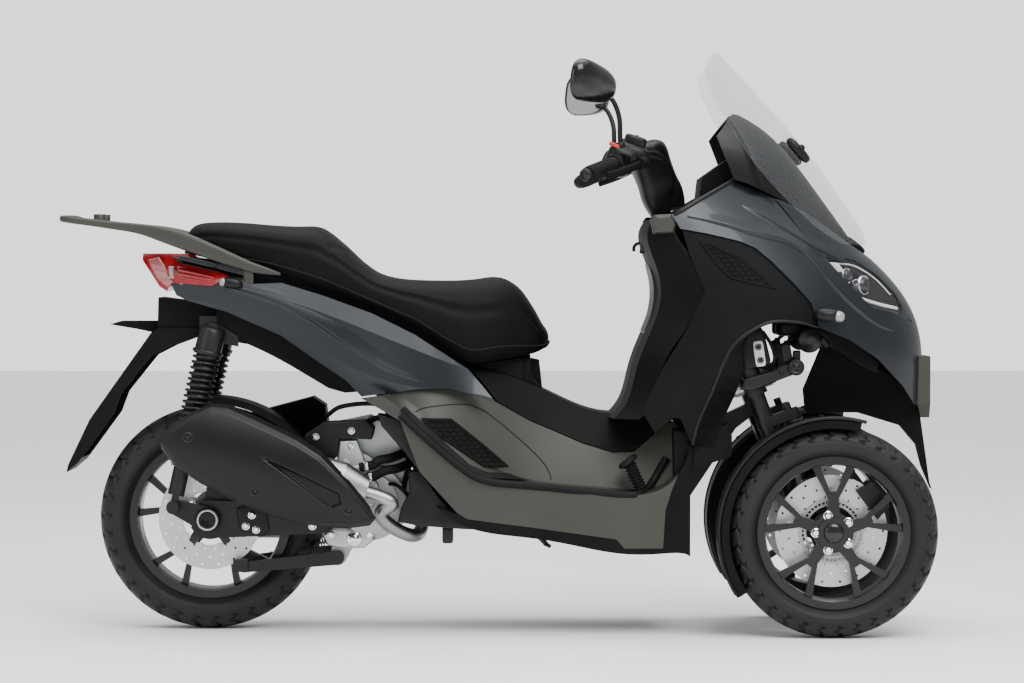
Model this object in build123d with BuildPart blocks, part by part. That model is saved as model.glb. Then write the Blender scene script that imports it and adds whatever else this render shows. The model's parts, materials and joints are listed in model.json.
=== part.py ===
"""Three-wheel tilting motor scooter, right side at -Y, nose at +X, standing on the floor at Z = 0.

All sizes are millimetres. The origin is on the floor, at the middle of the length and width.
"""
import os
from math import cos, pi, radians, sin

from build123d import *

os.makedirs("parts", exist_ok=True)

# Driving dimensions: wheels and steering
WHEELBASE = 1440
REAR_AXLE_X = -672
FRONT_TRACK = 465
FRONT_TYRE_RADIUS = 242
FRONT_TYRE_WIDTH = 110
FRONT_RIM_RADIUS = 165
REAR_TYRE_RADIUS = 262
REAR_TYRE_WIDTH = 140
REAR_RIM_RADIUS = 178
RAKE_DEG = 20
KINGPIN_Y = 145
AXLE_LEAD = 56
AXLE_RADIUS = 12
FRONT_DISC_RADIUS = 129
REAR_DISC_RADIUS = 120
DISC_THICKNESS = 5

# Driving dimensions: bodywork
WALL = 4
SEAM = 0.6
RECESS = 5
RUN_GAP = 0.3
HALF_SPAN = 420
NOSE_STRIP = 70
TUB_HALF_WIDTH = 134
RAIL_Y = 100
RAIL_RADIUS = 16
FLOOR_RAIL_Z = 262
NECK_RADIUS = 52
STEM_RADIUS = 14

FRONT_AXLE_X = REAR_AXLE_X + WHEELBASE
WHEEL_Y = FRONT_TRACK / 2
RIGHT, LEFT = -1, 1
SIDES = {"right": RIGHT, "left": LEFT}

# Steering directions: up along the raked axis, and forward across it
UP = Vector(-sin(radians(RAKE_DEG)), 0, cos(radians(RAKE_DEG)))
AHEAD = Vector(cos(radians(RAKE_DEG)), 0, sin(radians(RAKE_DEG)))
KINGPIN_FOOT = Vector(FRONT_AXLE_X - AXLE_LEAD, 0, FRONT_TYRE_RADIUS)
HEAD_FOOT = Vector(396, 0, 970)


def keep(piece, label):
    """Label a finished piece and write its STEP file."""
    piece.part.label = label
    export_step(piece.part, f"parts/{label}.step")


def kingpin_plane(along, ahead=0, y=0):
    """Plane across the kingpin direction, a distance up the axis and ahead of it."""
    return Plane(origin=KINGPIN_FOOT + UP * along + AHEAD * ahead + Vector(0, y, 0), x_dir=AHEAD, z_dir=UP)


def head_plane(along, ahead=0, y=0):
    """Plane across the handlebar's steering axis."""
    return Plane(origin=HEAD_FOOT + UP * along + AHEAD * ahead + Vector(0, y, 0), x_dir=AHEAD, z_dir=UP)


# Body volumes that the panels are cut from

# Front body: horizontal sections as (height, nose x, half width)
FRONT_STATIONS = [
    (400, 985, 235),
    (500, 998, 262),
    (610, 998, 284),
    (720, 984, 288),
    (830, 915, 280),
    (940, 790, 262),
    (1070, 590, 226),
]
FRONT_BACK_X = 250


def front_volume(inset):
    """Bullet-shaped front body, its skin moved inwards by inset and its back open."""
    back = FRONT_BACK_X - inset
    with BuildPart() as volume:
        for z, nose, half in FRONT_STATIONS:
            length = nose - FRONT_BACK_X
            reach, wide = nose - inset, half - inset
            with BuildSketch(Plane.XY.offset(z)):
                with BuildLine():
                    skin = Spline(
                        (back, wide),
                        (FRONT_BACK_X + 0.45 * length, 0.98 * wide),
                        (FRONT_BACK_X + 0.80 * length - inset, 0.70 * wide),
                        (reach, 0),
                        (FRONT_BACK_X + 0.80 * length - inset, -0.70 * wide),
                        (FRONT_BACK_X + 0.45 * length, -0.98 * wide),
                        (back, -wide),
                        tangents=((1, 0), (-1, 0)),
                    )
                    Line(skin @ 1, skin @ 0)
                make_face()
        loft()
    return volume.part


# Rear body: upright sections as (x, then half widths and heights from the top edge down)
REAR_STATIONS = [
    (-825, (84, 886), (112, 850), (110, 800), (84, 752)),
    (-650, (122, 872), (166, 812), (162, 762), (120, 690)),
    (-480, (142, 842), (196, 770), (192, 696), (146, 616)),
    (-300, (152, 790), (212, 704), (210, 604), (166, 516)),
    (-120, (146, 716), (212, 632), (218, 566), (196, 480)),
    (30, (118, 640), (172, 576), (204, 524), (196, 456)),
]

# Lower body: the same from tunnel top, tunnel side, foot line, tread edge to skirt
LOWER_STATIONS = [
    (-335, (150, 650), (200, 600), (214, 556), (224, 530), (228, 470)),
    (-180, (148, 640), (196, 590), (218, 522), (236, 478), (240, 350)),
    (-60, (118, 612), (176, 556), (214, 418), (245, 376), (242, 250)),
    (100, (84, 566), (132, 480), (166, 354), (250, 344), (244, 225)),
    (230, (82, 512), (132, 436), (168, 342), (252, 332), (244, 200)),
    (330, (90, 520), (140, 440), (178, 336), (252, 328), (244, 190)),
    (442, (110, 560), (160, 500), (214, 470), (250, 440), (244, 185)),
]


def upright_volume(stations, inset):
    """Body lofted through mirrored upright polygons, each shrunk by inset."""
    with BuildPart() as volume:
        for x, *half in stations:
            with BuildSketch(Plane.YZ.offset(x)):
                with BuildLine():
                    Polyline(*half, *[(-y, z) for y, z in reversed(half)], close=True)
                make_face()
                if inset:
                    offset(amount=-inset, kind=Kind.INTERSECTION, mode=Mode.REPLACE)
        loft()
    return volume.part


front_outer = front_volume(0)
front_recessed = front_volume(RECESS)
rear_outer = upright_volume(REAR_STATIONS, 0)
lower_outer = upright_volume(LOWER_STATIONS, 0)
with BuildPart() as front_skin:
    add(front_outer)
    add(front_volume(WALL), mode=Mode.SUBTRACT)
with BuildPart() as front_inner_skin:
    add(front_recessed)
    add(front_volume(RECESS + WALL), mode=Mode.SUBTRACT)
with BuildPart() as rear_skin:
    add(rear_outer)
    add(upright_volume(REAR_STATIONS, WALL), mode=Mode.SUBTRACT)
with BuildPart() as lower_skin:
    add(lower_outer)
    add(upright_volume(LOWER_STATIONS, WALL), mode=Mode.SUBTRACT)


def side_outline(points, gap=0.0):
    """Closed side-view outline as a face on the XZ plane, drawn in by gap."""
    with BuildSketch(Plane.XZ) as outline:
        with BuildLine():
            Polyline(*points, close=True)
        make_face()
        if gap:
            offset(amount=-gap, kind=Kind.INTERSECTION, mode=Mode.REPLACE)
    return outline.sketch


def cut_panel(skin, outline, inner=0.0, outer=HALF_SPAN):
    """Right-hand and left-hand panel: the part of a skin inside a side outline, between two widths."""
    with BuildPart() as panel:
        add(skin)
        with BuildSketch(Plane.XZ.offset(inner)):
            add(outline)
        extrude(amount=outer - inner, mode=Mode.INTERSECT)
        mirror(about=Plane.XZ)
    return panel


# Outlines of the front panels, side view
FAIRING = [
    (398, 968), (544, 1046), (632, 1012), (684, 950), (702, 905), (738, 864), (766, 832), (805, 786),
    (825, 768), (872, 752), (936, 736), (1005, 700), (1005, 520), (972, 528), (941, 572), (876, 637),
        (807, 682),
    (736, 710), (718, 766), (678, 811), (629, 860), (589, 893), (554, 908), (480, 925), (418, 936),
]
NOSE_TOP = [
    (634, 1013), (708, 981), (822, 902), (1010, 780), (1010, 701), (938, 738), (944, 751), (926, 786),
    (882, 830), (827, 865), (762, 873), (740, 865.5), (703, 906), (685, 951),
]
LOWER_SHIELD = [
    (413, 966), (425, 935), (480, 924), (554, 907), (589, 892), (629, 859), (678, 810), (718, 765),
        (735, 712),
    (674, 722), (625, 722), (576, 700), (536, 670), (515, 630), (490, 565), (462, 500), (446, 440),
        (420, 500),
    (405, 505), (360, 470), (330, 520), (379, 622), (435, 711), (473, 795), (436, 885),
]
HEADLAMP = [
    (739, 865), (762, 873), (827, 865), (882, 830), (926, 786), (944, 751), (937, 737), (872, 752),
    (825, 768), (805, 786), (766, 832),
]

side_fairings = cut_panel(front_skin.part, side_outline(FAIRING), inner=NOSE_STRIP + SEAM)
keep(side_fairings, "side_fairings")

with BuildPart() as nose_region:
    with BuildSketch(Plane.XZ):
        add(side_outline(NOSE_TOP))
    extrude(amount=HALF_SPAN, both=True)
    with BuildSketch(Plane.XZ):
        with BuildLine():
            Polyline((900, 790), (1010, 790), (1010, 520), (972, 528), (941, 572), (900, 610), close=True)
        make_face()
    extrude(amount=NOSE_STRIP, both=True)
with BuildPart() as nose_panel:
    add(front_skin.part)
    add(nose_region.part, mode=Mode.INTERSECT)
keep(nose_panel, "nose_panel")

lower_shields = cut_panel(front_inner_skin.part, side_outline(LOWER_SHIELD))
keep(lower_shields, "lower_shields")

# Headlamps: an open bowl with two round projectors, closed by a lens that follows the skin
LENS = WALL
LAMP_DEPTH = 60
LAMP_WALL = 5
headlamp_lenses = cut_panel(front_skin.part, side_outline(HEADLAMP, RUN_GAP), inner=NOSE_STRIP)
keep(headlamp_lenses, "headlamp_lenses")

with BuildPart() as lamp_core:
    add(front_volume(LENS + RUN_GAP))
    add(front_volume(LENS + LAMP_DEPTH), mode=Mode.SUBTRACT)
with BuildPart() as lamp_hollow:
    add(front_volume(LENS))
    add(front_volume(LENS + LAMP_DEPTH - LAMP_WALL), mode=Mode.SUBTRACT)
with BuildPart() as headlamps:
    add(cut_panel(lamp_core.part, side_outline(HEADLAMP, 1), inner=NOSE_STRIP).part)
    add(cut_panel(lamp_hollow.part, side_outline(HEADLAMP, 1 + LAMP_WALL),
        inner=NOSE_STRIP + LAMP_WALL).part,
        mode=Mode.SUBTRACT)
keep(headlamps, "headlamps")

# Deck between the fairings, with the instrument binnacle on it
with BuildPart() as deck:
    add(front_volume(WALL + RUN_GAP))
    with BuildSketch(Plane.XZ):
        with BuildLine():
            Polyline((405, 964), (544, 1043), (630, 1010), (706, 978), (790, 920), (790, 912), (704, 970),
                     (630, 1002), (544, 1034), (409, 956), close=True)
        make_face()
    extrude(amount=HALF_SPAN, both=True, mode=Mode.INTERSECT)
    with Locations(head_plane(0).location):
        Cylinder(NECK_RADIUS + 8, 240, mode=Mode.SUBTRACT)
    add(side_fairings.part, mode=Mode.SUBTRACT)
    add(nose_panel.part, mode=Mode.SUBTRACT)
    add(lower_shields.part, mode=Mode.SUBTRACT)
keep(deck, "deck")

with BuildPart() as dash:
    with BuildSketch(Plane.XZ):
        with BuildLine():
            Polyline((468, 1001), (474, 1056), (536, 1100), (560, 1094), (556, 1039), (544, 1043.5),
                close=True)
        make_face()
    extrude(amount=128, both=True)
    fillet(dash.edges().filter_by(Axis.Y).group_by(Axis.Z)[-1], 8)
keep(dash, "dash")

# Cowl behind the windscreen, and the windscreen
COWL_STATIONS = [(890, 842, 112), (960, 796, 176), (1040, 738, 190), (1120, 676, 184), (1210, 556, 150)]
COWL_BACK_X = 470


def cowl_volume(inset):
    """Smaller bullet that the dark cowl is cut from."""
    with BuildPart() as volume:
        for z, nose, half in COWL_STATIONS:
            length = nose - COWL_BACK_X
            with BuildSketch(Plane.XY.offset(z)):
                with BuildLine():
                    skin = Spline(
                        (COWL_BACK_X - inset, half - inset),
                        (COWL_BACK_X + 0.55 * length - inset, 0.84 * half - inset),
                        (nose - inset, 0),
                        (COWL_BACK_X + 0.55 * length - inset, inset - 0.84 * half),
                        (COWL_BACK_X - inset, inset - half),
                        tangents=((1, 0), (-1, 0)),
                    )
                    Line(skin @ 1, skin @ 0)
                make_face()
        loft()
    return volume.part


with BuildPart() as cowl:
    add(cowl_volume(0))
    add(cowl_volume(WALL), mode=Mode.SUBTRACT)
    with BuildSketch(Plane.XZ):
        with BuildLine():
            Polyline((505, 1150), (548, 1206), (640, 1206), (900, 1000), (860, 880), (822, 904), (708, 983),
                     (634, 1014), (577, 1040), (545, 1050), close=True)
        make_face()
    extrude(amount=HALF_SPAN, both=True, mode=Mode.INTERSECT)
keep(cowl, "cowl")

# Windscreen: crescent sections as (height, front x, edge x, half width)
SCREEN_STATIONS = [
    (900, 866, 806, 118), (960, 842, 712, 172), (1060, 772, 612, 202),
    (1160, 694, 540, 206), (1240, 622, 497, 196), (1300, 566, 474, 176), (1349, 522, 492, 124),
]
SCREEN_THICKNESS = 4
with BuildPart() as windscreen:
    for z, front, edge, half in SCREEN_STATIONS:
        with BuildSketch(Plane.XY.offset(z)):
            with BuildLine():
                outside = ThreePointArc((edge, half), (front, 0), (edge, -half))
                inside = ThreePointArc((edge, half - SCREEN_THICKNESS), (front - SCREEN_THICKNESS, 0),
                                       (edge, SCREEN_THICKNESS - half))
                Line(outside @ 0, inside @ 0)
                Line(outside @ 1, inside @ 1)
            make_face()
    loft()
    with BuildSketch(Plane.YZ.offset(400)):
        with BuildLine():
            Polyline((-96, 1349), (-170, 1300), (-230, 1180), (-230, 890), (230, 890), (230, 1180),
                (170, 1300),
                     (96, 1349), close=True)
        make_face()
        fillet(vertices().group_by(Axis.Y)[-1], 60)
    extrude(amount=600, mode=Mode.INTERSECT)
keep(windscreen, "windscreen")

# each mount clamps the screen from both faces
with BuildPart() as screen_mounts:
    with Locations((645, -150, 1098), (645, 150, 1098)):
        Box(96, 14, 24)
    add(windscreen.part, mode=Mode.SUBTRACT)
    add(cowl_volume(WALL / 2), mode=Mode.SUBTRACT)
    add(cowl.part, mode=Mode.SUBTRACT)
keep(screen_mounts, "screen_mounts")

# Leg shield facing the rider: horizontal sections as (height, middle x, edge x, half width)
SHIELD_STATIONS = [
    (500, 258, 318, 250), (622, 312, 372, 270), (711, 347, 428, 276), (790, 366, 466, 274),
    (885, 342, 428, 262), (958, 350, 402, 246),
]
SHIELD_THICKNESS = 6
with BuildPart() as leg_shield:
    for z, middle, edge, half in SHIELD_STATIONS:
        with BuildSketch(Plane.XY.offset(z)):
            with BuildLine():
                Polyline(
                    (edge, half), (middle + 10, 205), (middle, 120), (middle, -120), (middle + 10, -205),
                        (edge, -half),
                    (edge + SHIELD_THICKNESS, -half), (middle + 10 + SHIELD_THICKNESS, -200),
                    (middle + SHIELD_THICKNESS, -118), (middle + SHIELD_THICKNESS, 118),
                    (middle + 10 + SHIELD_THICKNESS, 200), (edge + SHIELD_THICKNESS, half), close=True)
            make_face()
    loft()
    add(lower_outer, mode=Mode.SUBTRACT)
    add(deck.part, mode=Mode.SUBTRACT)
keep(leg_shield, "leg_shield")

# Frame: floor ladder and front mast
RAIL_BACK_X, RAIL_LENGTH = -145, 530
with BuildPart() as floor_frame:
    for side in SIDES.values():
        with BuildSketch(Plane.YZ.offset(RAIL_BACK_X)):
            with Locations((side * RAIL_Y, FLOOR_RAIL_Z)):
                Circle(RAIL_RADIUS)
        extrude(amount=RAIL_LENGTH)
        # upright that carries the tub and the engine's pivot
        with BuildSketch(Plane.XZ.offset(-side * RAIL_Y)):
            with BuildLine():
                Polyline((-150, 252), (-116, 252), (-120, 400), (-160, 569), (-206, 566), (-204, 440),
                    (-170, 400),
                         close=True)
            make_face()
        extrude(amount=8, both=True)
    for x in (RAIL_BACK_X + 18, RAIL_BACK_X + RAIL_LENGTH - 14):
        with BuildSketch(Plane.XZ.offset(-RAIL_Y)):
            with Locations((x, FLOOR_RAIL_Z)):
                Circle(RAIL_RADIUS - 2)
        extrude(amount=2 * RAIL_Y)
keep(floor_frame, "floor_frame")

MAST_HALF = 25
FLAP_HALF = 40
SLEEVE_RADIUS = 28
TUBE_RADIUS = 20
SLEEVE_LOW, SLEEVE_HIGH = 330, 470
ARM_LEVELS = (355, 445)
ARM_SECTION = 30
with BuildPart() as front_mast:
    with BuildSketch(kingpin_plane(300)):
        Rectangle(2 * MAST_HALF, 2 * MAST_HALF)
    extrude(amount=230)
    # down tube to the floor ladder
    with BuildSketch(Plane.XZ):
        with BuildLine():
            Polyline((626, 542), (592, 530), (540, 505), (402, 305), (386, 280), (386, 237), (420, 262),
                (560, 470),
                     (634, 526), close=True)
        make_face()
    extrude(amount=22, both=True)
    # flap behind the wheels
    with BuildSketch(Plane.XZ):
        with BuildLine():
            Polyline((456, 404), (462, 376), (548, 404), (550, 452), (540, 480), (500, 470), close=True)
        make_face()
    extrude(amount=FLAP_HALF, both=True)
    # steering head
    with BuildSketch(Plane.XZ):
        with BuildLine():
            Polyline((560, 700), (520, 765), (440, 800), (430, 850), (466, 860), (560, 790), (580, 700),
                close=True)
        make_face()
    extrude(amount=14, both=True)
    with BuildSketch(head_plane(-40)):
        Circle(30)
    extrude(amount=-180)
    with BuildSketch(head_plane(-40)):
        Circle(STEM_RADIUS + RUN_GAP)
    extrude(amount=-180, mode=Mode.SUBTRACT)
keep(front_mast, "front_mast")

# Floor, tunnel and belly
TUNNEL = [
    (-68, 650), (-64, 616), (-34, 581), (0, 538), (78, 493), (199, 441), (268, 420), (316, 423),
    (386, 483), (408, 495), (442, 447), (442, 650),
]
SKIRT = [
    (-312, 548), (-174, 567), (-109, 567), (-62, 556), (-2, 536), (77, 491), (198, 439), (268, 418),
        (317, 421),
    (386, 481), (408, 493), (441, 445), (398, 333), (385, 291), (380, 204), (291, 204), (273, 225),
        (82, 252),
    (-68, 271), (-91, 285), (-178, 380), (-222, 496),
]
BELLY = [
    (-205, 255), (-189, 318), (-92, 283), (-68, 270), (82, 251), (273, 224), (291, 203), (381, 203),
        (386, 291),
    (399, 332), (442, 444), (442, 180), (300, 180), (70, 225), (-60, 245),
]
RISER = [(-58, 592), (-58, 616), (58, 631), (58, 570)]
RISER_HALF = 84
HINGE = (88, 622)
HINGE_RADIUS = 5
TONGUE_HALF = 30
with BuildPart() as centre_tunnel:
    add(cut_panel(lower_skin.part, side_outline(TUNNEL)).part)
    # riser up to the seat, hollow from below
    with BuildSketch(Plane.XZ):
        add(side_outline(RISER))
    extrude(amount=RISER_HALF, both=True)
    with BuildSketch(Plane.XZ):
        with BuildLine():
            Polyline((-58 + WALL, 540), (-58 + WALL, 616 - WALL), (58 - WALL, 631 - WALL), (58 - WALL, 540),
                     close=True)
        make_face()
    extrude(amount=RISER_HALF - WALL, both=True, mode=Mode.SUBTRACT)
    # ears and pin of the seat hinge
    for side in SIDES.values():
        with BuildSketch(Plane.XZ.offset(-side * (TONGUE_HALF + 5))):
            with BuildLine():
                Polyline((62, 622), (80, 634), (98, 630), (106, 556), (82, 590), close=True)
            make_face()
        extrude(amount=4, both=True)
    with BuildSketch(Plane.XZ.offset(-TONGUE_HALF - 9)):
        with Locations(HINGE):
            Circle(HINGE_RADIUS)
    extrude(amount=2 * TONGUE_HALF + 18)
keep(centre_tunnel, "centre_tunnel")
floorboards = cut_panel(lower_skin.part, side_outline(SKIRT), inner=60)
keep(floorboards, "floorboards")
with BuildPart() as belly_pan:
    add(cut_panel(lower_skin.part, side_outline(BELLY)).part)
    add(upright_volume([(435, *LOWER_STATIONS[-1][1:]), (439, *LOWER_STATIONS[-1][1:])], WALL + 3))
    add(centre_tunnel.part, mode=Mode.SUBTRACT)
    add(floorboards.part, mode=Mode.SUBTRACT)
    add(floor_frame.part, mode=Mode.SUBTRACT)
    add(front_mast.part, mode=Mode.SUBTRACT)
keep(belly_pan, "belly_pan")

# Tail panels and tail lamp
TAIL = [
    (-560, 827), (-577, 809), (-498, 812), (-399, 782), (-289, 742), (-190, 693), (-120, 648),
    (-66, 613), (-36, 578), (-3, 538), (-62, 558), (-109, 569), (-174, 569), (-313, 550), (-349, 588),
        (-424, 638),
    (-497, 690), (-625, 745), (-714, 770), (-743, 783), (-756, 811), (-658, 803), (-620, 826),
]
TAIL_LAMP = [
    (-830, 880), (-728, 880), (-706, 868), (-621, 827), (-659, 804), (-757, 812), (-765, 792),
        (-783, 803), (-806, 838), (-830, 872),
]
LAMP_INSET = 2
tail_panels = cut_panel(rear_skin.part, side_outline(TAIL))
keep(tail_panels, "tail_panels")
with BuildPart() as tail_lamp:
    add(upright_volume(REAR_STATIONS, LAMP_INSET))
    with BuildSketch(Plane.XZ):
        add(side_outline(TAIL_LAMP))
    extrude(amount=HALF_SPAN, both=True, mode=Mode.INTERSECT)
    with Locations((-710, 0, 840)):
        Box(100, 200, 200, mode=Mode.SUBTRACT)
    with Locations((-626, 0, 840)):
        Box(70, 2 * (TUB_HALF_WIDTH + RUN_GAP), 200, mode=Mode.SUBTRACT)
keep(tail_lamp, "tail_lamp")

# Storage tub under the seat, open at the top; the seat's base rests along its rim
SEAT_BASE = [(-724, 880), (-507, 835), (-405, 799), (-304, 764), (-224, 728), (-152, 688), (-86, 632)]
TUB_BACK = -650
SEAT_GAP = 2 * RUN_GAP
TUB_POCKET = [
    (-640, 900), (-40, 900), (-90, 640), (-94, 590), (-353, 563), (-443, 589), (-524, 627), (-600, 660),
        (-640, 690),
]
TUB_WALL = 5
with BuildPart() as storage_tub:
    with BuildSketch(Plane.XZ):
        with BuildLine():
            Polyline((TUB_BACK, 676), (TUB_BACK, 890), *[(x, z - SEAT_GAP) for x, z in SEAT_BASE[1:]],
                     (-84, 578), (-353, 557), (-443, 583), (-524, 621), (-632, 664), close=True)
        make_face()
    extrude(amount=TUB_HALF_WIDTH, both=True)
    with BuildSketch(Plane.XZ):
        with BuildLine():
            Polyline(*[(x, z - SEAT_GAP) for x, z in SEAT_BASE], (-40, 632), (-40, 900), (-724, 900),
                close=True)
        make_face()
    extrude(amount=HALF_SPAN, both=True, mode=Mode.SUBTRACT)
    with BuildSketch(Plane.XZ):
        add(side_outline(TUB_POCKET))
    extrude(amount=TUB_HALF_WIDTH - TUB_WALL, both=True, mode=Mode.SUBTRACT)
    add(upright_volume(REAR_STATIONS, WALL + SEAM), mode=Mode.INTERSECT)
keep(storage_tub, "storage_tub")

# Two-level seat: half widths and heights of the crown, shoulder, flank and base at each x
SEAT_STATIONS = [
    (-724, (56, 932), (80, 914), (92, 884), (90, 840)),
    (-700, (78, 948), (102, 926), (112, 888), (108, 830)),
    (-650, (98, 955), (124, 930), (134, 880), (128, 810)),
    (-590, (106, 954), (132, 927), (142, 872), (136, 796)),
    (-530, (110, 949), (136, 920), (147, 862), (140, 788)),
    (-470, (112, 945), (139, 914), (151, 848), (144, 776)),
    (-420, (110, 943), (141, 904), (154, 832), (146, 756)),
    (-385, (106, 923), (142, 882), (155, 818), (147, 744)),
    (-350, (104, 893), (142, 860), (157, 804), (149, 730)),
    (-310, (105, 856), (143, 832), (158, 788), (150, 712)),
    (-270, (107, 832), (144, 812), (158, 772), (150, 694)),
    (-210, (108, 823), (144, 805), (158, 752), (150, 664)),
    (-140, (107, 820), (143, 802), (155, 726), (148, 620)),
    (-70, (101, 823), (137, 804), (149, 702), (141, 592)),
    (-15, (88, 827), (122, 806), (136, 692), (128, 590)),
    (22, (76, 818), (108, 794), (122, 690), (114, 594)),
    (55, (62, 793), (92, 767), (106, 686), (98, 604)),
    (85, (46, 751), (76, 726), (90, 679), (84, 611)),
    (108, (30, 702), (58, 690), (70, 672), (66, 620)),
    (120, (16, 672), (40, 668), (50, 662), (48, 630)),
]
with BuildPart() as seat:
    add(upright_volume(SEAT_STATIONS, 0))
    with BuildSketch(Plane.XZ):
        with BuildLine():
            Polyline(*SEAT_BASE, (-66, 623), (75, 642), (130, 662), (130, 1000), (-730, 1000),
                (-730, 882), close=True)
        make_face()
    extrude(amount=HALF_SPAN, both=True, mode=Mode.INTERSECT)
    # tongue of the hinge
    with BuildSketch(Plane.XZ):
        with Locations(HINGE):
            Circle(HINGE_RADIUS + 5)
        with Locations((HINGE[0], HINGE[1] + 15)):
            Rectangle(20, 30)
    extrude(amount=TONGUE_HALF, both=True)
    with BuildSketch(Plane.XZ):
        with Locations(HINGE):
            Circle(HINGE_RADIUS + 0.05)
    extrude(amount=HALF_SPAN, both=True, mode=Mode.SUBTRACT)
keep(seat, "seat")

# Grab rail with flat carrier pads, and the plate holder under the tail
RAIL_OUTLINE = [
    (-1018, 968), (-1020, 958), (-994, 949), (-870, 935), (-844, 928), (-780, 909), (-741, 888), (-690, 874),
    (-560, 842), (-560, 866), (-630, 892), (-759, 941), (-801, 946), (-853, 952),
]
PAD_X, PAD_Y, PAD_TOP, PAD_HOLE = -930, 50, 972, 4.2
RAIL_FOOT_Y, RAIL_FOOT_Z = 163, 800
with BuildPart() as grab_rail:
    with BuildSketch(Plane.XZ):
        add(side_outline(RAIL_OUTLINE))
    extrude(amount=HALF_SPAN, both=True)
    with BuildSketch(Plane.XY.offset(800)):
        with BuildLine():
            Polyline((-556, 176), (-700, 158), (-880, 130), (-980, 110), (-1020, 80), (-1020, -80),
                (-980, -110),
                     (-880, -130), (-700, -158), (-556, -176), (-556, -152), (-700, -132), (-800, -112),
                     (-870, -88), (-870, 88), (-800, 112), (-700, 132), (-556, 152), close=True)
        make_face()
    extrude(amount=220, mode=Mode.INTERSECT)
    with BuildSketch(Plane.XY.offset(PAD_TOP)):
        with Locations((PAD_X, -PAD_Y), (PAD_X, PAD_Y)):
            Circle(14)
    extrude(amount=-24)
    with BuildSketch(Plane.XY.offset(PAD_TOP)):
        with Locations((PAD_X, -PAD_Y), (PAD_X, PAD_Y)):
            Circle(PAD_HOLE)
    extrude(amount=-60, mode=Mode.SUBTRACT)
    # feet on the tail panels
    with BuildSketch(Plane.XY.offset(RAIL_FOOT_Z)):
        with Locations((-574, RAIL_FOOT_Y), (-574, -RAIL_FOOT_Y)):
            Rectangle(26, 20)
    extrude(amount=50)
    add(upright_volume(REAR_STATIONS, -RUN_GAP), mode=Mode.SUBTRACT)
    add(storage_tub.part, mode=Mode.SUBTRACT)
keep(grab_rail, "grab_rail")

with BuildPart() as plate_holder:
    with BuildSketch(Plane.XZ):
        with BuildLine():
            Polyline((TUB_BACK - SEAM, 706), (-790, 706), (-806, 696), (-855, 627), (-950, 493),
                (-1000, 388),
                     (-1004, 370), (-976, 394), (-894, 506), (-876, 554), (-807, 640), (-760, 664),
                         (-690, 690),
                     (TUB_BACK - SEAM, 690), close=True)
        make_face()
    extrude(amount=95, both=True)
    with BuildSketch(Plane.XZ):
        with BuildLine():
            Polyline((TUB_BACK - SEAM, 700), (TUB_BACK - SEAM, 760), (-790, 778), (-792, 700), close=True)
        make_face()
    extrude(amount=84, both=True)
    # arm of the plate lamp
    with BuildSketch(Plane.XZ):
        with BuildLine():
            Polyline((-909, 714), (-883, 722), (-790, 722), (-806, 695), (-844, 703), close=True)
        make_face()
    extrude(amount=34, both=True)
    # hollow from below
    with BuildSketch(Plane.XZ):
        with BuildLine():
            Polyline((-700, 640), (-700, 696), (-792, 696), (-852, 612), (-944, 482), (-984, 404),
                (-960, 404),
                     (-880, 516), (-860, 560), (-800, 632), (-760, 645), close=True)
        make_face()
    extrude(amount=90, both=True, mode=Mode.SUBTRACT)
keep(plate_holder, "plate_holder")

# Parallelogram arms of the tilting front, and the side columns that they carry
with BuildPart() as cross_arms:
    for level in ARM_LEVELS:
        for facing in (1, -1):
            first = MAST_HALF + RUN_GAP
            plane = Plane(origin=KINGPIN_FOOT + UP * level + AHEAD * facing * first, x_dir=(0, 1, 0),
                          z_dir=AHEAD * facing)
            with BuildSketch(plane):
                SlotOverall(2 * KINGPIN_Y + 44, ARM_SECTION)
            extrude(amount=20)
            with BuildSketch(plane):
                with Locations((-KINGPIN_Y, 0), (0, 0), (KINGPIN_Y, 0)):
                    Circle(13)
            extrude(amount=28)
keep(cross_arms, "cross_arms")

with BuildPart() as side_columns:
    for side in SIDES.values():
        with BuildSketch(kingpin_plane(SLEEVE_LOW, 0, side * KINGPIN_Y)):
            Circle(SLEEVE_RADIUS)
        extrude(amount=SLEEVE_HIGH - SLEEVE_LOW)
        for level in ARM_LEVELS:
            with BuildSketch(kingpin_plane(level - 12, 0, side * KINGPIN_Y)):
                Rectangle(2 * MAST_HALF, 36)
            extrude(amount=24)
    for side in SIDES.values():
        with BuildSketch(kingpin_plane(SLEEVE_LOW, 0, side * KINGPIN_Y)):
            Circle(TUBE_RADIUS + RUN_GAP)
        extrude(amount=SLEEVE_HIGH - SLEEVE_LOW, mode=Mode.SUBTRACT)
    add(cross_arms.part, mode=Mode.SUBTRACT)
keep(side_columns, "side_columns")

# Wheels, each turning about an axle along Y
TYRE_SECTION = [(0, 0.345), (0.15, 0.345), (0.42, 0.5), (0.72, 0.47), (0.93, 0.28)]
FLANGE = 5
HUB_RADIUS = 36
SPOKES = 5
SPOKE_SPREAD = 15


def wheel_section(centre):
    """Plane through a wheel's axle, radius along X and width along Y."""
    return Plane(origin=centre, x_dir=(1, 0, 0), z_dir=(0, 0, 1))


def make_tyre(centre, radius, width, rim):
    """Tyre turned from a section given as fractions of its height and width."""
    half = [(rim + RUN_GAP + h * (radius - rim - RUN_GAP), w * width) for h, w in TYRE_SECTION]
    with BuildPart() as tyre:
        with BuildSketch(wheel_section(centre)):
            with BuildLine():
                Polyline(*half, (radius, 0), *[(r, -w) for r, w in reversed(half)], close=True)
            make_face()
        revolve(axis=Axis(centre, (0, 1, 0)))
    return tyre


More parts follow.
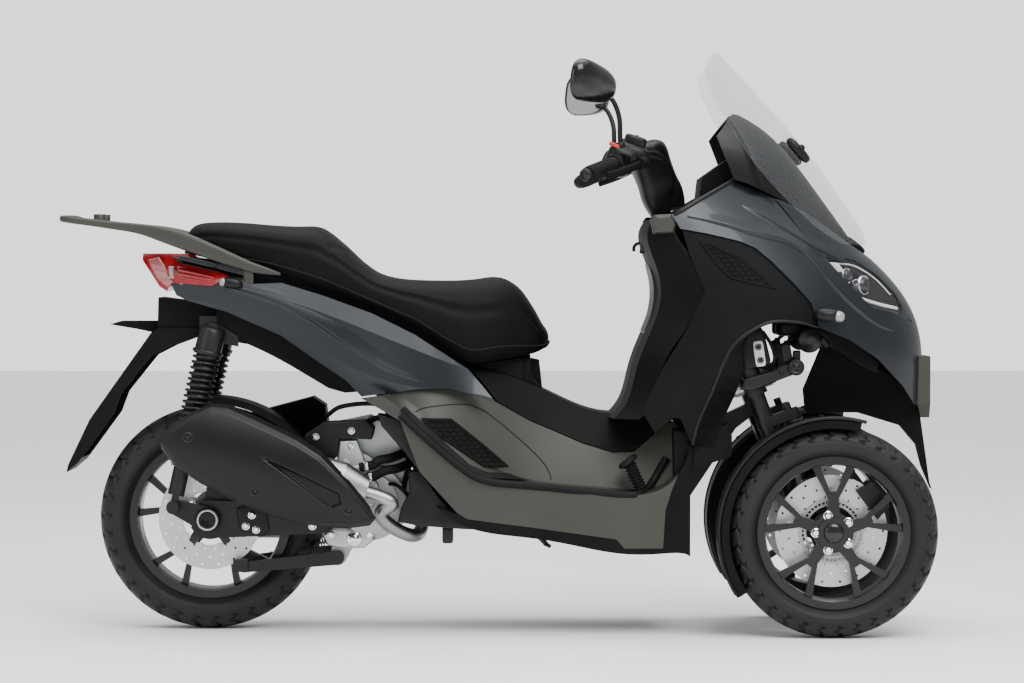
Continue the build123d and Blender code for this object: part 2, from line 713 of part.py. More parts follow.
def make_rim(centre, width, height, rim, outward, dish, hub_inner, hub_outer, cap):
    """Barrel, hub and forked spokes; outward is the side that the spokes lie to, cap closes the bore."""
    seat_y = TYRE_SECTION[0][1] * width + RUN_GAP
    lip = rim + TYRE_SECTION[1][0] * height - 2
    with BuildPart() as wheel:
        with BuildSketch(wheel_section(centre)):
            with BuildLine():
                Polyline(
                    (lip, seat_y + FLANGE), (lip, seat_y), (rim, seat_y), (rim, -seat_y), (lip, -seat_y),
                    (lip, -seat_y - FLANGE), (rim - 7, -seat_y - FLANGE), (rim - 11, -seat_y + 14),
                    (rim - 11, seat_y - 14), (rim - 7, seat_y + FLANGE), close=True)
            make_face()
        revolve(axis=Axis(centre, (0, 1, 0)))
        # the forked spokes
        with BuildSketch(Plane(origin=centre + Vector(0, outward * dish, 0), x_dir=(1, 0, 0),
            z_dir=(0, -1, 0))):
            Circle(HUB_RADIUS + 10)
            fork, root, tip = 0.52 * rim, 0.2 * rim, rim - 9
            spread = radians(SPOKE_SPREAD)
            with PolarLocations(0, SPOKES, start_angle=90):
                Polygon((root, -15), (fork + 8, -11), (fork + 8, 11), (root, 15), align=None)
                for bend in (1, -1):
                    Polygon(
                        (fork - 6, bend * 2), (tip * cos(spread) + 3, bend * (tip * sin(spread) - 9)),
                        (tip * cos(spread) - 2, bend * (tip * sin(spread) + 8)), (fork - 10, bend * 11),
                            align=None)
        extrude(amount=11, both=True)
        with BuildSketch(Plane(origin=centre, x_dir=(1, 0, 0), z_dir=(0, outward, 0)).offset(hub_inner)):
            Circle(HUB_RADIUS)
        extrude(amount=hub_outer - hub_inner)
        with BuildSketch(Plane(origin=centre, x_dir=(1, 0, 0), z_dir=(0, outward, 0)).offset(hub_inner - 5)):
            Circle(AXLE_RADIUS + RUN_GAP)
        extrude(amount=hub_outer - hub_inner + 5 - cap, mode=Mode.SUBTRACT)
    return wheel


def make_disc(centre, radius, y, bore):
    """Brake disc on five carrier arms."""
    with BuildPart() as disc:
        with BuildSketch(Plane(origin=centre + Vector(0, y, 0), x_dir=(1, 0, 0), z_dir=(0, -1, 0))):
            Circle(radius)
            Circle(0.68 * radius, mode=Mode.SUBTRACT)
            with PolarLocations(0, SPOKES, start_angle=30):
                Polygon((bore, -9), (0.7 * radius, -7), (0.7 * radius, 7), (bore, 9), align=None)
            Circle(bore + 12)
            Circle(bore, mode=Mode.SUBTRACT)
        extrude(amount=DISC_THICKNESS / 2, both=True)
    return disc


FRONT_DISC_INSET = 30
for name, side in SIDES.items():
    centre = Vector(FRONT_AXLE_X, side * WHEEL_Y, FRONT_TYRE_RADIUS)
    keep(make_tyre(centre, FRONT_TYRE_RADIUS, FRONT_TYRE_WIDTH, FRONT_RIM_RADIUS), f"tyre_front_{name}")
    keep(make_rim(centre, FRONT_TYRE_WIDTH, FRONT_TYRE_RADIUS - FRONT_RIM_RADIUS, FRONT_RIM_RADIUS, side, 22,
                  -FRONT_DISC_INSET - DISC_THICKNESS, 40, 8), f"rim_front_{name}")
    keep(make_disc(centre, FRONT_DISC_RADIUS, -side * FRONT_DISC_INSET, HUB_RADIUS + RUN_GAP),
         f"disc_front_{name}")

REAR_CENTRE = Vector(REAR_AXLE_X, 0, REAR_TYRE_RADIUS)
REAR_DISC_Y = -62
keep(make_tyre(REAR_CENTRE, REAR_TYRE_RADIUS, REAR_TYRE_WIDTH, REAR_RIM_RADIUS), "tyre_rear")
keep(make_rim(REAR_CENTRE, REAR_TYRE_WIDTH, REAR_TYRE_RADIUS - REAR_RIM_RADIUS, REAR_RIM_RADIUS, RIGHT, 22,
              -70, 70, -5), "rim_rear")
keep(make_disc(REAR_CENTRE, REAR_DISC_RADIUS, REAR_DISC_Y, HUB_RADIUS + RUN_GAP), "disc_rear")

# Steered legs: tube, trailing arm, axle, spring leg and brake caliper
MUDGUARD_RADIUS = 265
MUDGUARD_HALF = 58
SPRING_AHEAD = 58
for name, side in SIDES.items():
    foot_y = side * KINGPIN_Y
    axle = Vector(FRONT_AXLE_X, 0, FRONT_TYRE_RADIUS)
    inboard = Plane(origin=(0, foot_y - 20 * side, 0), x_dir=(1, 0, 0), z_dir=(0, side, 0))
    flip = 1 if side == RIGHT else -1
    # caliper over the disc
    hold = Plane(origin=(axle.X, side * (WHEEL_Y - FRONT_DISC_INSET), axle.Z), x_dir=(1, 0, 0),
        z_dir=(0, -1, 0))
    with BuildPart() as caliper:
        with BuildSketch(hold):
            with Locations(Location((0, 0, 0), (0, 0, 37))):
                Polygon((100, -42), (142, -34), (142, 34), (100, 42), align=None)
        extrude(amount=17, both=True)
        with BuildSketch(hold):
            Circle(FRONT_DISC_RADIUS + 5)
        extrude(amount=DISC_THICKNESS / 2 + 5, both=True, mode=Mode.SUBTRACT)
    with BuildPart() as fork:
        with BuildSketch(kingpin_plane(10, 0, foot_y)):
            Circle(TUBE_RADIUS)
        extrude(amount=SLEEVE_HIGH + 10)
        with BuildSketch(kingpin_plane(SLEEVE_HIGH + 8, 0, foot_y)):
            Circle(TUBE_RADIUS + 8)
        extrude(amount=20)
        # trailing arm from the tube's foot to the axle
        low = KINGPIN_FOOT + UP * 24
        with BuildSketch(Plane.XZ.offset(-foot_y - 18)):
            with Locations((low.X, low.Z)):
                Circle(26)
            with Locations((axle.X, axle.Z)):
                Circle(30)
            make_hull()
        extrude(amount=36)
        with BuildSketch(Plane.XZ.offset(-foot_y)):
            with Locations((axle.X, axle.Z)):
                Circle(AXLE_RADIUS)
        extrude(amount=-side * (WHEEL_Y - KINGPIN_Y + 30))
        # spring leg ahead of the tube, with its turned spring
        spring = kingpin_plane(40, SPRING_AHEAD, foot_y)
        with BuildSketch(spring):
            Circle(9)
        extrude(amount=250)
        with BuildSketch(Plane(origin=spring.origin, x_dir=AHEAD, z_dir=(0, -1, 0))):
            with BuildLine():
                turns = 7
                outer = [(17 + 5 * (i % 2), 70 + 10 * i) for i in range(2 * turns + 1)]
                Polyline((8, 70), *outer, (8, 70 + 20 * turns), close=True)
            make_face()
        revolve(axis=Axis(spring.origin, UP))
        for level in (30, 250):
            with BuildSketch(kingpin_plane(level, SPRING_AHEAD / 2, foot_y)):
                SlotOverall(SPRING_AHEAD + 44, 40)
            extrude(amount=24)
        # bracket from the arm to the caliper
        add(caliper.part)
        with BuildSketch(hold.offset(-side * -15)):
            with Locations(Location((0, 0, 0), (0, 0, 37))):
                Polygon((10, -24), (120, -30), (120, 30), (10, 24), align=None)
        extrude(amount=side * 26)
    keep(fork, f"fork_{name}")

    with BuildPart() as mudguard:
        start = 76
        centre = Vector(FRONT_AXLE_X, side * WHEEL_Y, FRONT_TYRE_RADIUS)
        along = Vector(cos(radians(start)), 0, sin(radians(start)))
        with BuildSketch(Plane(origin=centre, x_dir=along, z_dir=Vector(0, 1, 0).cross(along) * -1)) as cut:
            with BuildLine():
                w, r = MUDGUARD_HALF, MUDGUARD_RADIUS
                Polyline((r - 26, w), (r - 8, w), (r, w - 14), (r, 14 - w), (r - 8, -w), (r - 26, -w),
                         (r - 26, WALL - w), (r - 9, WALL - w), (r - WALL, 16 - w), (r - WALL, w - 16),
                         (r - 9, w - WALL), (r - 26, w - WALL), close=True)
            make_face()
        revolve(axis=Axis(centre, (0, -1, 0)), revolution_arc=138)
        # stay to the leg
        with BuildSketch(kingpin_plane(200, -6, foot_y + side * (TUBE_RADIUS + RUN_GAP))):
            Rectangle(30, 2 * (WHEEL_Y - MUDGUARD_HALF - KINGPIN_Y - TUBE_RADIUS))
        extrude(amount=30)
        add(fork.part, mode=Mode.SUBTRACT)
    keep(mudguard, f"mudguard_{name}")

# Engine, transmission and rear suspension
CRANK = (-300, 300)
STAND_PIVOT = (-372, 172)
STAND_TUBE = 13
with BuildPart() as engine:
    with BuildSketch(Plane.XZ.offset(-92)):
        with Locations(CRANK):
            Circle(88)
    extrude(amount=200)
    with BuildSketch(Plane.XZ.offset(-70)):
        with BuildLine():
            Polyline((-300, 230), (-205, 262), (-205, 400), (-300, 388), close=True)
        make_face()
    extrude(amount=140)
    # cooling-pump cover on the right and the cylinder's cover above
    with BuildSketch(Plane.XZ.offset(108)):
        with Locations((-327, 362)):
            Circle(56)
        with Locations(CRANK):
            Circle(70)
    extrude(amount=26)
    with BuildSketch(Plane.XZ.offset(-60)):
        with BuildLine():
            Polyline((-400, 420), (-300, 380), (-215, 400), (-230, 470), (-300, 500), (-400, 480),
                close=True)
        make_face()
    extrude(amount=150)
    # lugs of the stand's pivot and of the frame mount
    for side in SIDES.values():
        with BuildSketch(Plane.XZ.offset(-side * 76)):
            with Locations(STAND_PIVOT):
                Circle(STAND_TUBE + 7)
            with Locations((-335, 260)):
                Circle(30)
            make_hull()
        extrude(amount=6, both=True)
    with BuildSketch(Plane.XZ.offset(-92)):
        with Locations(STAND_PIVOT):
            Circle(STAND_TUBE + 0.08)
    extrude(amount=200, mode=Mode.SUBTRACT)
    with BuildSketch(Plane.XZ.offset(-60)):
        with Locations((-240, 430), (-186, 446)):
            Circle(16)
        make_hull()
    extrude(amount=120)
    with BuildSketch(Plane.XZ.offset(-RAIL_Y + 8 + RUN_GAP)):
        with Locations((-186, 446)):
            Circle(10)
    extrude(amount=2 * (RAIL_Y - 8 - RUN_GAP))
keep(engine, "engine")

TRANSMISSION_INNER, TRANSMISSION_OUTER = 95, 185
SHOCK_Y = 146
SHOCK_EYE_HALF = 13.7
SHOCK_EYE_INNER = SHOCK_Y - SHOCK_EYE_HALF - RUN_GAP
SHOCK_TOP, SHOCK_FOOT = Vector(-658, 0, 704), Vector(-751, 0, 292)
with BuildPart() as transmission:
    with BuildSketch(Plane.XZ.offset(-TRANSMISSION_INNER)):
        with Locations(CRANK):
            Circle(98)
        with Locations((REAR_AXLE_X, REAR_TYRE_RADIUS)):
            Circle(58)
        make_hull()
    extrude(amount=TRANSMISSION_INNER - TRANSMISSION_OUTER)
    with BuildSketch(Plane.XZ.offset(-TRANSMISSION_INNER)):
        with Locations((REAR_AXLE_X, REAR_TYRE_RADIUS), (SHOCK_FOOT.X, SHOCK_FOOT.Z)):
            Circle(16)
        make_hull()
    extrude(amount=SHOCK_EYE_INNER * -1 + TRANSMISSION_INNER)
    # the rear axle
    with BuildSketch(Plane.XZ.offset(-TRANSMISSION_INNER)):
        with Locations((REAR_AXLE_X, REAR_TYRE_RADIUS)):
            Circle(AXLE_RADIUS)
    extrude(amount=TRANSMISSION_INNER + 116)
keep(transmission, "transmission")

AIRBOX = [(-610, 320), (-420, 350), (-400, 440), (-410, 520), (-440, 540), (-590, 500), (-620, 460)]
with BuildPart() as air_box:
    with BuildSketch(Plane.XZ.offset(-86)):
        add(side_outline(AIRBOX))
    extrude(amount=-96)
    add(transmission.part, mode=Mode.SUBTRACT)
keep(air_box, "air_box")

with BuildPart() as axle_carrier:
    with BuildSketch(Plane.XZ.offset(88)):
        with Locations((REAR_AXLE_X, REAR_TYRE_RADIUS)):
            Circle(44)
        with Locations((-430, 262)):
            Circle(34)
        make_hull()
    extrude(amount=26)
    with BuildSketch(Plane.XZ.offset(88)):
        with Locations((-430, 262)):
            Circle(34)
        with Locations((-330, 290)):
            Circle(50)
        make_hull()
    extrude(amount=26)
    with BuildSketch(Plane.XZ.offset(88)):
        with Locations((REAR_AXLE_X, REAR_TYRE_RADIUS)):
            Circle(30)
        with Locations((SHOCK_FOOT.X, SHOCK_FOOT.Z)):
            Circle(16)
        make_hull()
    extrude(amount=SHOCK_EYE_INNER - 88)
    with BuildSketch(Plane.XZ.offset(80)):
        with Locations((REAR_AXLE_X, REAR_TYRE_RADIUS)):
            Circle(AXLE_RADIUS + RUN_GAP)
    extrude(amount=60, mode=Mode.SUBTRACT)
    add(engine.part, mode=Mode.SUBTRACT)
    # brake caliper behind the axle
    caliper = Plane(origin=(REAR_AXLE_X, REAR_DISC_Y, REAR_TYRE_RADIUS), x_dir=(1, 0, 0), z_dir=(0, -1, 0))
    with BuildSketch(caliper):
        with Locations(Location((0, 0, 0), (0, 0, 60))):
            Polygon((88, -44), (140, -36), (140, 36), (88, 44), align=None)
    extrude(amount=18, both=True)
    with BuildSketch(caliper):
        Circle(REAR_DISC_RADIUS + 5)
    extrude(amount=DISC_THICKNESS / 2 + 5, both=True, mode=Mode.SUBTRACT)
    with BuildSketch(caliper.offset(17)):
        with Locations(Location((0, 0, 0), (0, 0, 60))):
            Polygon((24, -26), (132, -32), (132, 32), (24, 26), align=None)
    extrude(amount=12)
keep(axle_carrier, "axle_carrier")

shock_axis = (SHOCK_TOP - SHOCK_FOOT).normalized()
SHOCK_LENGTH = (SHOCK_TOP - SHOCK_FOOT).length
SHOCK_BODY, SPRING_FOOT, SPRING_STEP, SPRING_SEAT, turns = 30, 190, 11, 31, 8
with BuildPart() as rear_shocks:
    for side in SIDES.values():
        foot = SHOCK_FOOT + Vector(0, side * SHOCK_Y, 0)
        base = Plane(origin=foot, x_dir=Vector(0, 1, 0), z_dir=shock_axis)
        with BuildSketch(base.offset(10)):
            Circle(8)
        extrude(amount=SHOCK_LENGTH - 20)
        with BuildSketch(base.offset(SHOCK_BODY)):
            Circle(19)
        extrude(amount=SPRING_FOOT - SHOCK_BODY)
        for seat_end in (SPRING_FOOT - 8, SPRING_FOOT + 2 * SPRING_STEP * turns):
            with BuildSketch(base.offset(seat_end)):
                Circle(SPRING_SEAT)
            extrude(amount=8)
        with BuildSketch(Plane(origin=foot, x_dir=shock_axis, z_dir=Vector(0, 1, 0).cross(shock_axis))):
            with BuildLine():
                outer = [(SPRING_FOOT + SPRING_STEP * i, 22 + 6 * (i % 2)) for i in range(2 * turns + 1)]
                Polyline((SPRING_FOOT, 7), *outer, (SPRING_FOOT + 2 * SPRING_STEP * turns, 7), close=True)
            make_face()
        revolve(axis=Axis(foot, shock_axis))
        for eye in (foot, foot + shock_axis * SHOCK_LENGTH):
            with BuildSketch(Plane(origin=eye, x_dir=(1, 0, 0), z_dir=(0, -1, 0))):
                Circle(15)
            extrude(amount=SHOCK_EYE_HALF, both=True)
keep(rear_shocks, "rear_shocks")

# Top brackets of the shocks, on the tub's underside
with BuildPart() as shock_brackets:
    for side in SIDES.values():
        with BuildSketch(Plane.XZ.offset(-side * (SHOCK_Y - 14))):
            with BuildLine():
                Polyline((-640, 672), (-690, 690), (-690, 735), (-600, 735), (-600, 664), close=True)
            make_face()
        extrude(amount=side * 10)
    add(storage_tub.part, mode=Mode.SUBTRACT)
keep(shock_brackets, "shock_brackets")

# Exhaust
SILENCER_Y = -212
SILENCER_FRONT, SILENCER_BACK = Vector(-300, SILENCER_Y, 330), Vector(-748, SILENCER_Y, 452)
silencer_axis = (SILENCER_BACK - SILENCER_FRONT).normalized()
silencer_plane = Plane(origin=SILENCER_FRONT, x_dir=Vector(0, -1, 0), z_dir=silencer_axis)
with BuildPart() as silencer:
    with BuildSketch(silencer_plane):
        Ellipse(22, 34)
    with BuildSketch(silencer_plane.offset(60)):
        Ellipse(33, 56)
    loft()
    with BuildSketch(silencer_plane.offset(60)):
        Ellipse(33, 56)
    extrude(amount=390)
    with BuildSketch(silencer_plane.offset(450)):
        Circle(17)
    extrude(amount=22)
    with BuildSketch(silencer_plane.offset(452)):
        Circle(14)
    extrude(amount=20, mode=Mode.SUBTRACT)
    # hanger to the axle carrier
    with BuildSketch(Plane.XZ.offset(114)):
        with Locations((-450, 282)):
            Circle(16)
        with Locations((-470, 372)):
            Circle(18)
        make_hull()
    extrude(amount=66)
keep(silencer, "silencer")

GUARD = [
    (-772, 448), (-737, 492), (-702, 514), (-649, 538), (-614, 533), (-545, 501), (-453, 459), (-422, 444),
    (-374, 400), (-335, 352), (-295, 304), (-278, 278), (-280, 265), (-335, 251), (-422, 256), (-510, 273),
    (-597, 308), (-684, 356), (-741, 396),
]
with BuildPart() as silencer_shield:
    with BuildSketch(silencer_plane.offset(-80)):
        with BuildLine():
            outside = ThreePointArc((8, -120), (40, 0), (8, 120))
            inside = ThreePointArc((4, -120), (33.5, 0), (4, 120))
            Line(outside @ 0, inside @ 0)
            Line(outside @ 1, inside @ 1)
        make_face()
    extrude(amount=640)
    with BuildSketch(Plane.XZ.offset(150)):
        add(side_outline(GUARD))
    extrude(amount=150, mode=Mode.INTERSECT)
    add(silencer.part, mode=Mode.SUBTRACT)
keep(silencer_shield, "silencer_shield")

with BuildPart() as exhaust_pipe:
    with BuildLine():
        run = Spline((-206, -40, 280), (-178, -76, 238), (-214, -150, 232), (-262, -200, 290),
            SILENCER_FRONT,
                     tangents=((1, 0, -0.6), silencer_axis))
    with BuildSketch(Plane(origin=run @ 0, z_dir=run % 0)):
        Circle(16)
    sweep()
    add(engine.part, mode=Mode.SUBTRACT)
    add(silencer.part, mode=Mode.SUBTRACT)
keep(exhaust_pipe, "exhaust_pipe")

with BuildPart() as rear_hugger:
    begin = 22
    along = Vector(cos(radians(begin)), 0, sin(radians(begin)))
    with BuildSketch(Plane(origin=REAR_CENTRE, x_dir=along, z_dir=Vector(0, 1, 0).cross(along) * -1)):
        with BuildLine():
            r, w = REAR_TYRE_RADIUS + 22, REAR_TYRE_WIDTH / 2 + 10
            Polyline((r - 16, w), (r, w - 12), (r, 12 - w), (r - 16, -w), (r - 16, WALL - w),
                (r - WALL, 14 - w),
                     (r - WALL, w - 14), (r - 16, w - WALL), close=True)
        make_face()
    revolve(axis=Axis(REAR_CENTRE, (0, -1, 0)), revolution_arc=75)
    # lug beside the transmission
    with BuildSketch(Plane.XZ.offset(RUN_GAP - TRANSMISSION_INNER)):
        with Locations((-420, 364)):
            Rectangle(30, 24)
    extrude(amount=TRANSMISSION_INNER - w + WALL)
    add(engine.part, mode=Mode.SUBTRACT)
    add(air_box.part, mode=Mode.SUBTRACT)
keep(rear_hugger, "rear_hugger")

# Centre stand, folded
STAND_Y = 105
STAND_FOOT = (-590, 150)
with BuildPart() as centre_stand:
    with BuildSketch(Plane.XZ.offset(-STAND_Y)):
        with Locations(STAND_PIVOT):
            Circle(STAND_TUBE)
    extrude(amount=2 * STAND_Y)
    for side in SIDES.values():
        with BuildSketch(Plane.XZ.offset(-side * STAND_Y)):
            with Locations(STAND_PIVOT):
                Circle(16)
            with Locations(STAND_FOOT):
                Circle(12)
            make_hull()
        extrude(amount=9, both=True)
        with BuildSketch(Plane.XZ.offset(-side * STAND_Y)):
            with Locations((STAND_FOOT[0] - 7, STAND_FOOT[1] + 4)):
                Rectangle(34, 28)
        extrude(amount=18, both=True)
    with BuildSketch(Plane.XZ.offset(-STAND_Y)):
        with Locations((STAND_FOOT[0] + 45, STAND_FOOT[1] + 6)):
            Circle(8)
    extrude(amount=-80)
keep(centre_stand, "centre_stand")

# Handlebar on its stem, with cover, controls and mirrors
with BuildPart() as handlebar:
    with BuildLine():
        bar = FilletPolyline((208, -365, 1059), (281, -235, 1089), (343, -70, 1118), (343, 70, 1118),
                             (281, 235, 1089), (208, 365, 1059), radius=40)
    with BuildSketch(Plane(origin=bar @ 0, z_dir=bar % 0)):
        Circle(11)
    sweep()
    with BuildSketch(head_plane(-150)):
        Circle(STEM_RADIUS)
    extrude(amount=308)
    for side in SIDES.values():
        end = Vector(208, side * 365, 1059)
        reach = (Vector(281, side * 235, 1089) - end).normalized()
        with BuildSketch(Plane(origin=end - reach * 8, z_dir=reach)):
            Circle(17)
        extrude(amount=128)
        with BuildSketch(Plane(origin=end - reach * 18, z_dir=reach)):
            Circle(14)
        extrude(amount=12)
keep(handlebar, "handlebar")

with BuildPart() as handlebar_cover:
    for along, deep, wide in ((20, 2 * NECK_RADIUS, 104), (70, 108, 130), (140, 96, 210), (176, 60, 190)):
        with BuildSketch(head_plane(along, -6)):
            RectangleRounded(deep, wide, 26)
    loft()
    add(handlebar.part, mode=Mode.SUBTRACT)
keep(handlebar_cover, "handlebar_cover")

with BuildPart() as controls:
    for side in SIDES.values():
        inner = Vector(281, side * 235, 1089)
        reach = (Vector(208, side * 365, 1059) - inner).normalized()
        grip = Plane(origin=inner, x_dir=Vector(0.38, 0, 0.92).cross(reach), z_dir=reach)
        with BuildSketch(grip.offset(-38)):
            RectangleRounded(46, 44, 8)
        extrude(amount=44)
        # brake lever ahead of the grip
        lever = inner + Vector(40, 0, -6)
        with BuildLine() as path:
            Spline(lever + reach * -20, lever + reach * 60 + Vector(8, 0, 0), lever + reach * 150)
        with BuildSketch(Plane(origin=path.line @ 0, z_dir=path.line % 0)):
            Ellipse(5, 9)
        sweep(path=path.line)
        with BuildSketch(Plane(origin=lever + reach * -34, z_dir=reach)):
            Circle(14)
        extrude(amount=26)
    add(handlebar.part, mode=Mode.SUBTRACT)
keep(controls, "controls")

with BuildPart() as mirrors:
    for side in SIDES.values():
        head = Vector(216, side * 330, 1266)
        back = Plane(origin=head + Vector(-34, 0, 6), x_dir=(0, 1, 0), z_dir=Vector(0.94, 0, -0.34))
        with BuildSketch(back):
            RectangleRounded(144, 84, 34)
        with BuildSketch(back.offset(40)):
            RectangleRounded(126, 66, 30)
        with BuildSketch(back.offset(68)):
            RectangleRounded(60, 30, 14)
        loft()
        with BuildLine() as path:
            Spline((272, side * 205, 1096), (276, side * 222, 1140), (272, side * 272, 1200),
                (248, side * 316, 1256))
        with BuildSketch(Plane(origin=path.line @ 0, z_dir=path.line % 0)):
            Circle(6)
        sweep(path=path.line)
    add(controls.part, mode=Mode.SUBTRACT)
    add(handlebar.part, mode=Mode.SUBTRACT)
keep(mirrors, "mirrors")

# Central keel below the nose, the trim on it, indicators and floor strips
KEEL = [
    (774, 690), (968, 560), (990, 514), (1014, 343), (1020, 327), (998, 380), (985, 430), (946, 476),
        (844, 507),
    (725, 507), (720, 560),
]
KEEL_HALF = 28
# its tongue reaches the inside of the nose panel
with BuildPart() as keel_tongue:
    add(front_volume(WALL + RUN_GAP))
    with BuildSketch(Plane.XZ):
        with BuildLine():
            Polyline((930, 586), (1000, 586), (1000, 536), (955, 536), close=True)
        make_face()
    extrude(amount=KEEL_HALF - WALL, both=True, mode=Mode.INTERSECT)
with BuildPart() as splash_guard:
    with BuildSketch(Plane.XZ):
        add(side_outline(KEEL))
    extrude(amount=KEEL_HALF, both=True)
    add(nose_panel.part, mode=Mode.SUBTRACT)
    with BuildSketch(Plane.XZ):
        with BuildLine():
            Polyline((770, 690), (960, 556), (975, 505), (940, 482), (844, 512), (716, 512), (700, 560),
                close=True)
        make_face()
    extrude(amount=KEEL_HALF - WALL, both=True, mode=Mode.SUBTRACT)
    add(keel_tongue.part)
keep(splash_guard, "splash_guard")

with BuildPart() as bumper_trim:
    with BuildSketch(Plane.YZ.offset(900)):
        with BuildLine():
            Polyline((-62, 640), (62, 640), (62, 530), (40, 496), (-40, 496), (-62, 530), close=True)
        make_face()
        with BuildLine():
            Polyline((-46, 612), (46, 612), (46, 540), (32, 514), (-32, 514), (-46, 540), close=True)
        make_face(mode=Mode.SUBTRACT)
    extrude(amount=112)
    add(front_outer, mode=Mode.SUBTRACT)
keep(bumper_trim, "bumper_trim")

with BuildPart() as indicators:
    with BuildSketch(Plane.YZ.offset(722)):
        with Locations((-266, 738)):
            Ellipse(16, 20)
    with BuildSketch(Plane.YZ.offset(794)):
        with Locations((-262, 730)):
            Ellipse(7, 9)
    loft()
    with BuildSketch(Plane.XZ.offset(180)):
        with Locations((746, 742)):
            Circle(8)
    extrude(amount=86)
    with BuildSketch(Plane.YZ.offset(-636)):
        with Locations((-182, 812)):
            Ellipse(9, 9)
    extrude(amount=44)
    with BuildSketch(Plane.XZ.offset(150)):
        with Locations((-614, 812)):
            Circle(6)
    extrude(amount=32)
    add(front_outer, mode=Mode.SUBTRACT)
    add(rear_outer, mode=Mode.SUBTRACT)
    mirror(about=Plane.XZ)
keep(indicators, "indicators")

STRIP = [
    (-222, 521), (-68, 386), (-26, 368), (314, 335), (354, 349), (403, 418), (384, 420), (342, 356),
        (310, 345),
    (-24, 379), (-62, 396), (-212, 530),
]
with BuildPart() as strip_skin:
    add(upright_volume([(x, *[(y + 4, z + 3) for y, z in half]) for x, *half in LOWER_STATIONS], 0))
    add(lower_outer, mode=Mode.SUBTRACT)
floor_strips = cut_panel(strip_skin.part, side_outline(STRIP), inner=190)
keep(floor_strips, "floor_strips")
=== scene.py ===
"""Looks of the three-wheel motor scooter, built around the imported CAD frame. Metres, nose at +X, right side at -Y."""

import json
from math import cos, pi, radians, sin

import bpy
import numpy as np
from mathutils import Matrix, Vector


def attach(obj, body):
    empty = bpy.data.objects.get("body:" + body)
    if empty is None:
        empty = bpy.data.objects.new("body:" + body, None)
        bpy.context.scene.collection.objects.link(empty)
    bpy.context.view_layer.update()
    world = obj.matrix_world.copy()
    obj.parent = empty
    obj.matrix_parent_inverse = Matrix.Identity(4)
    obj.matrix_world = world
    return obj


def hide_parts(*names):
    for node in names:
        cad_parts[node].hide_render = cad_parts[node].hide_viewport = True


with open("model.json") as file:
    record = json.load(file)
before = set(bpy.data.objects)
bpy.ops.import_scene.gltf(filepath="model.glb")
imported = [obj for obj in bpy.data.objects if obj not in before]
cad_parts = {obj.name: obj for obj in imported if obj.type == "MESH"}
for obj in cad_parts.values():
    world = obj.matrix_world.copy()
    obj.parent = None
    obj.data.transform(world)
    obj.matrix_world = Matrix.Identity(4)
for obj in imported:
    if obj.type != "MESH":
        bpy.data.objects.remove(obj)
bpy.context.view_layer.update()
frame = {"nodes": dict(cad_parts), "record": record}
nodes = frame["nodes"]

FRONT_TYRE = {"radius": 0.242, "width": 0.110, "rim": 0.1653}
REAR_TYRE = {"radius": 0.262, "width": 0.140, "rim": 0.1783}
FRONT_AXLE = np.array([0.768, 0.0, FRONT_TYRE["radius"]])
REAR_AXLE = np.array([-0.672, 0.0, REAR_TYRE["radius"]])
WHEEL_Y = 0.2325
RAKE = radians(20)
UP = np.array([-sin(RAKE), 0, cos(RAKE)])
AHEAD = np.array([cos(RAKE), 0, sin(RAKE)])
KINGPIN = np.array([0.712, 0.0, FRONT_AXLE[2]])
KINGPIN_Y = 0.145
SHOCK_FOOT, SHOCK_TOP, SHOCK_Y = np.array([-0.751, 0, 0.292]), np.array([-0.658, 0, 0.704]), 0.146
SIDES = {"right": -1, "left": 1}
AXLE = (0, 1, 0)
OUT = (0, -1, 0)
FIFTHS = np.arange(5) * 2 * pi / 5


# Materials

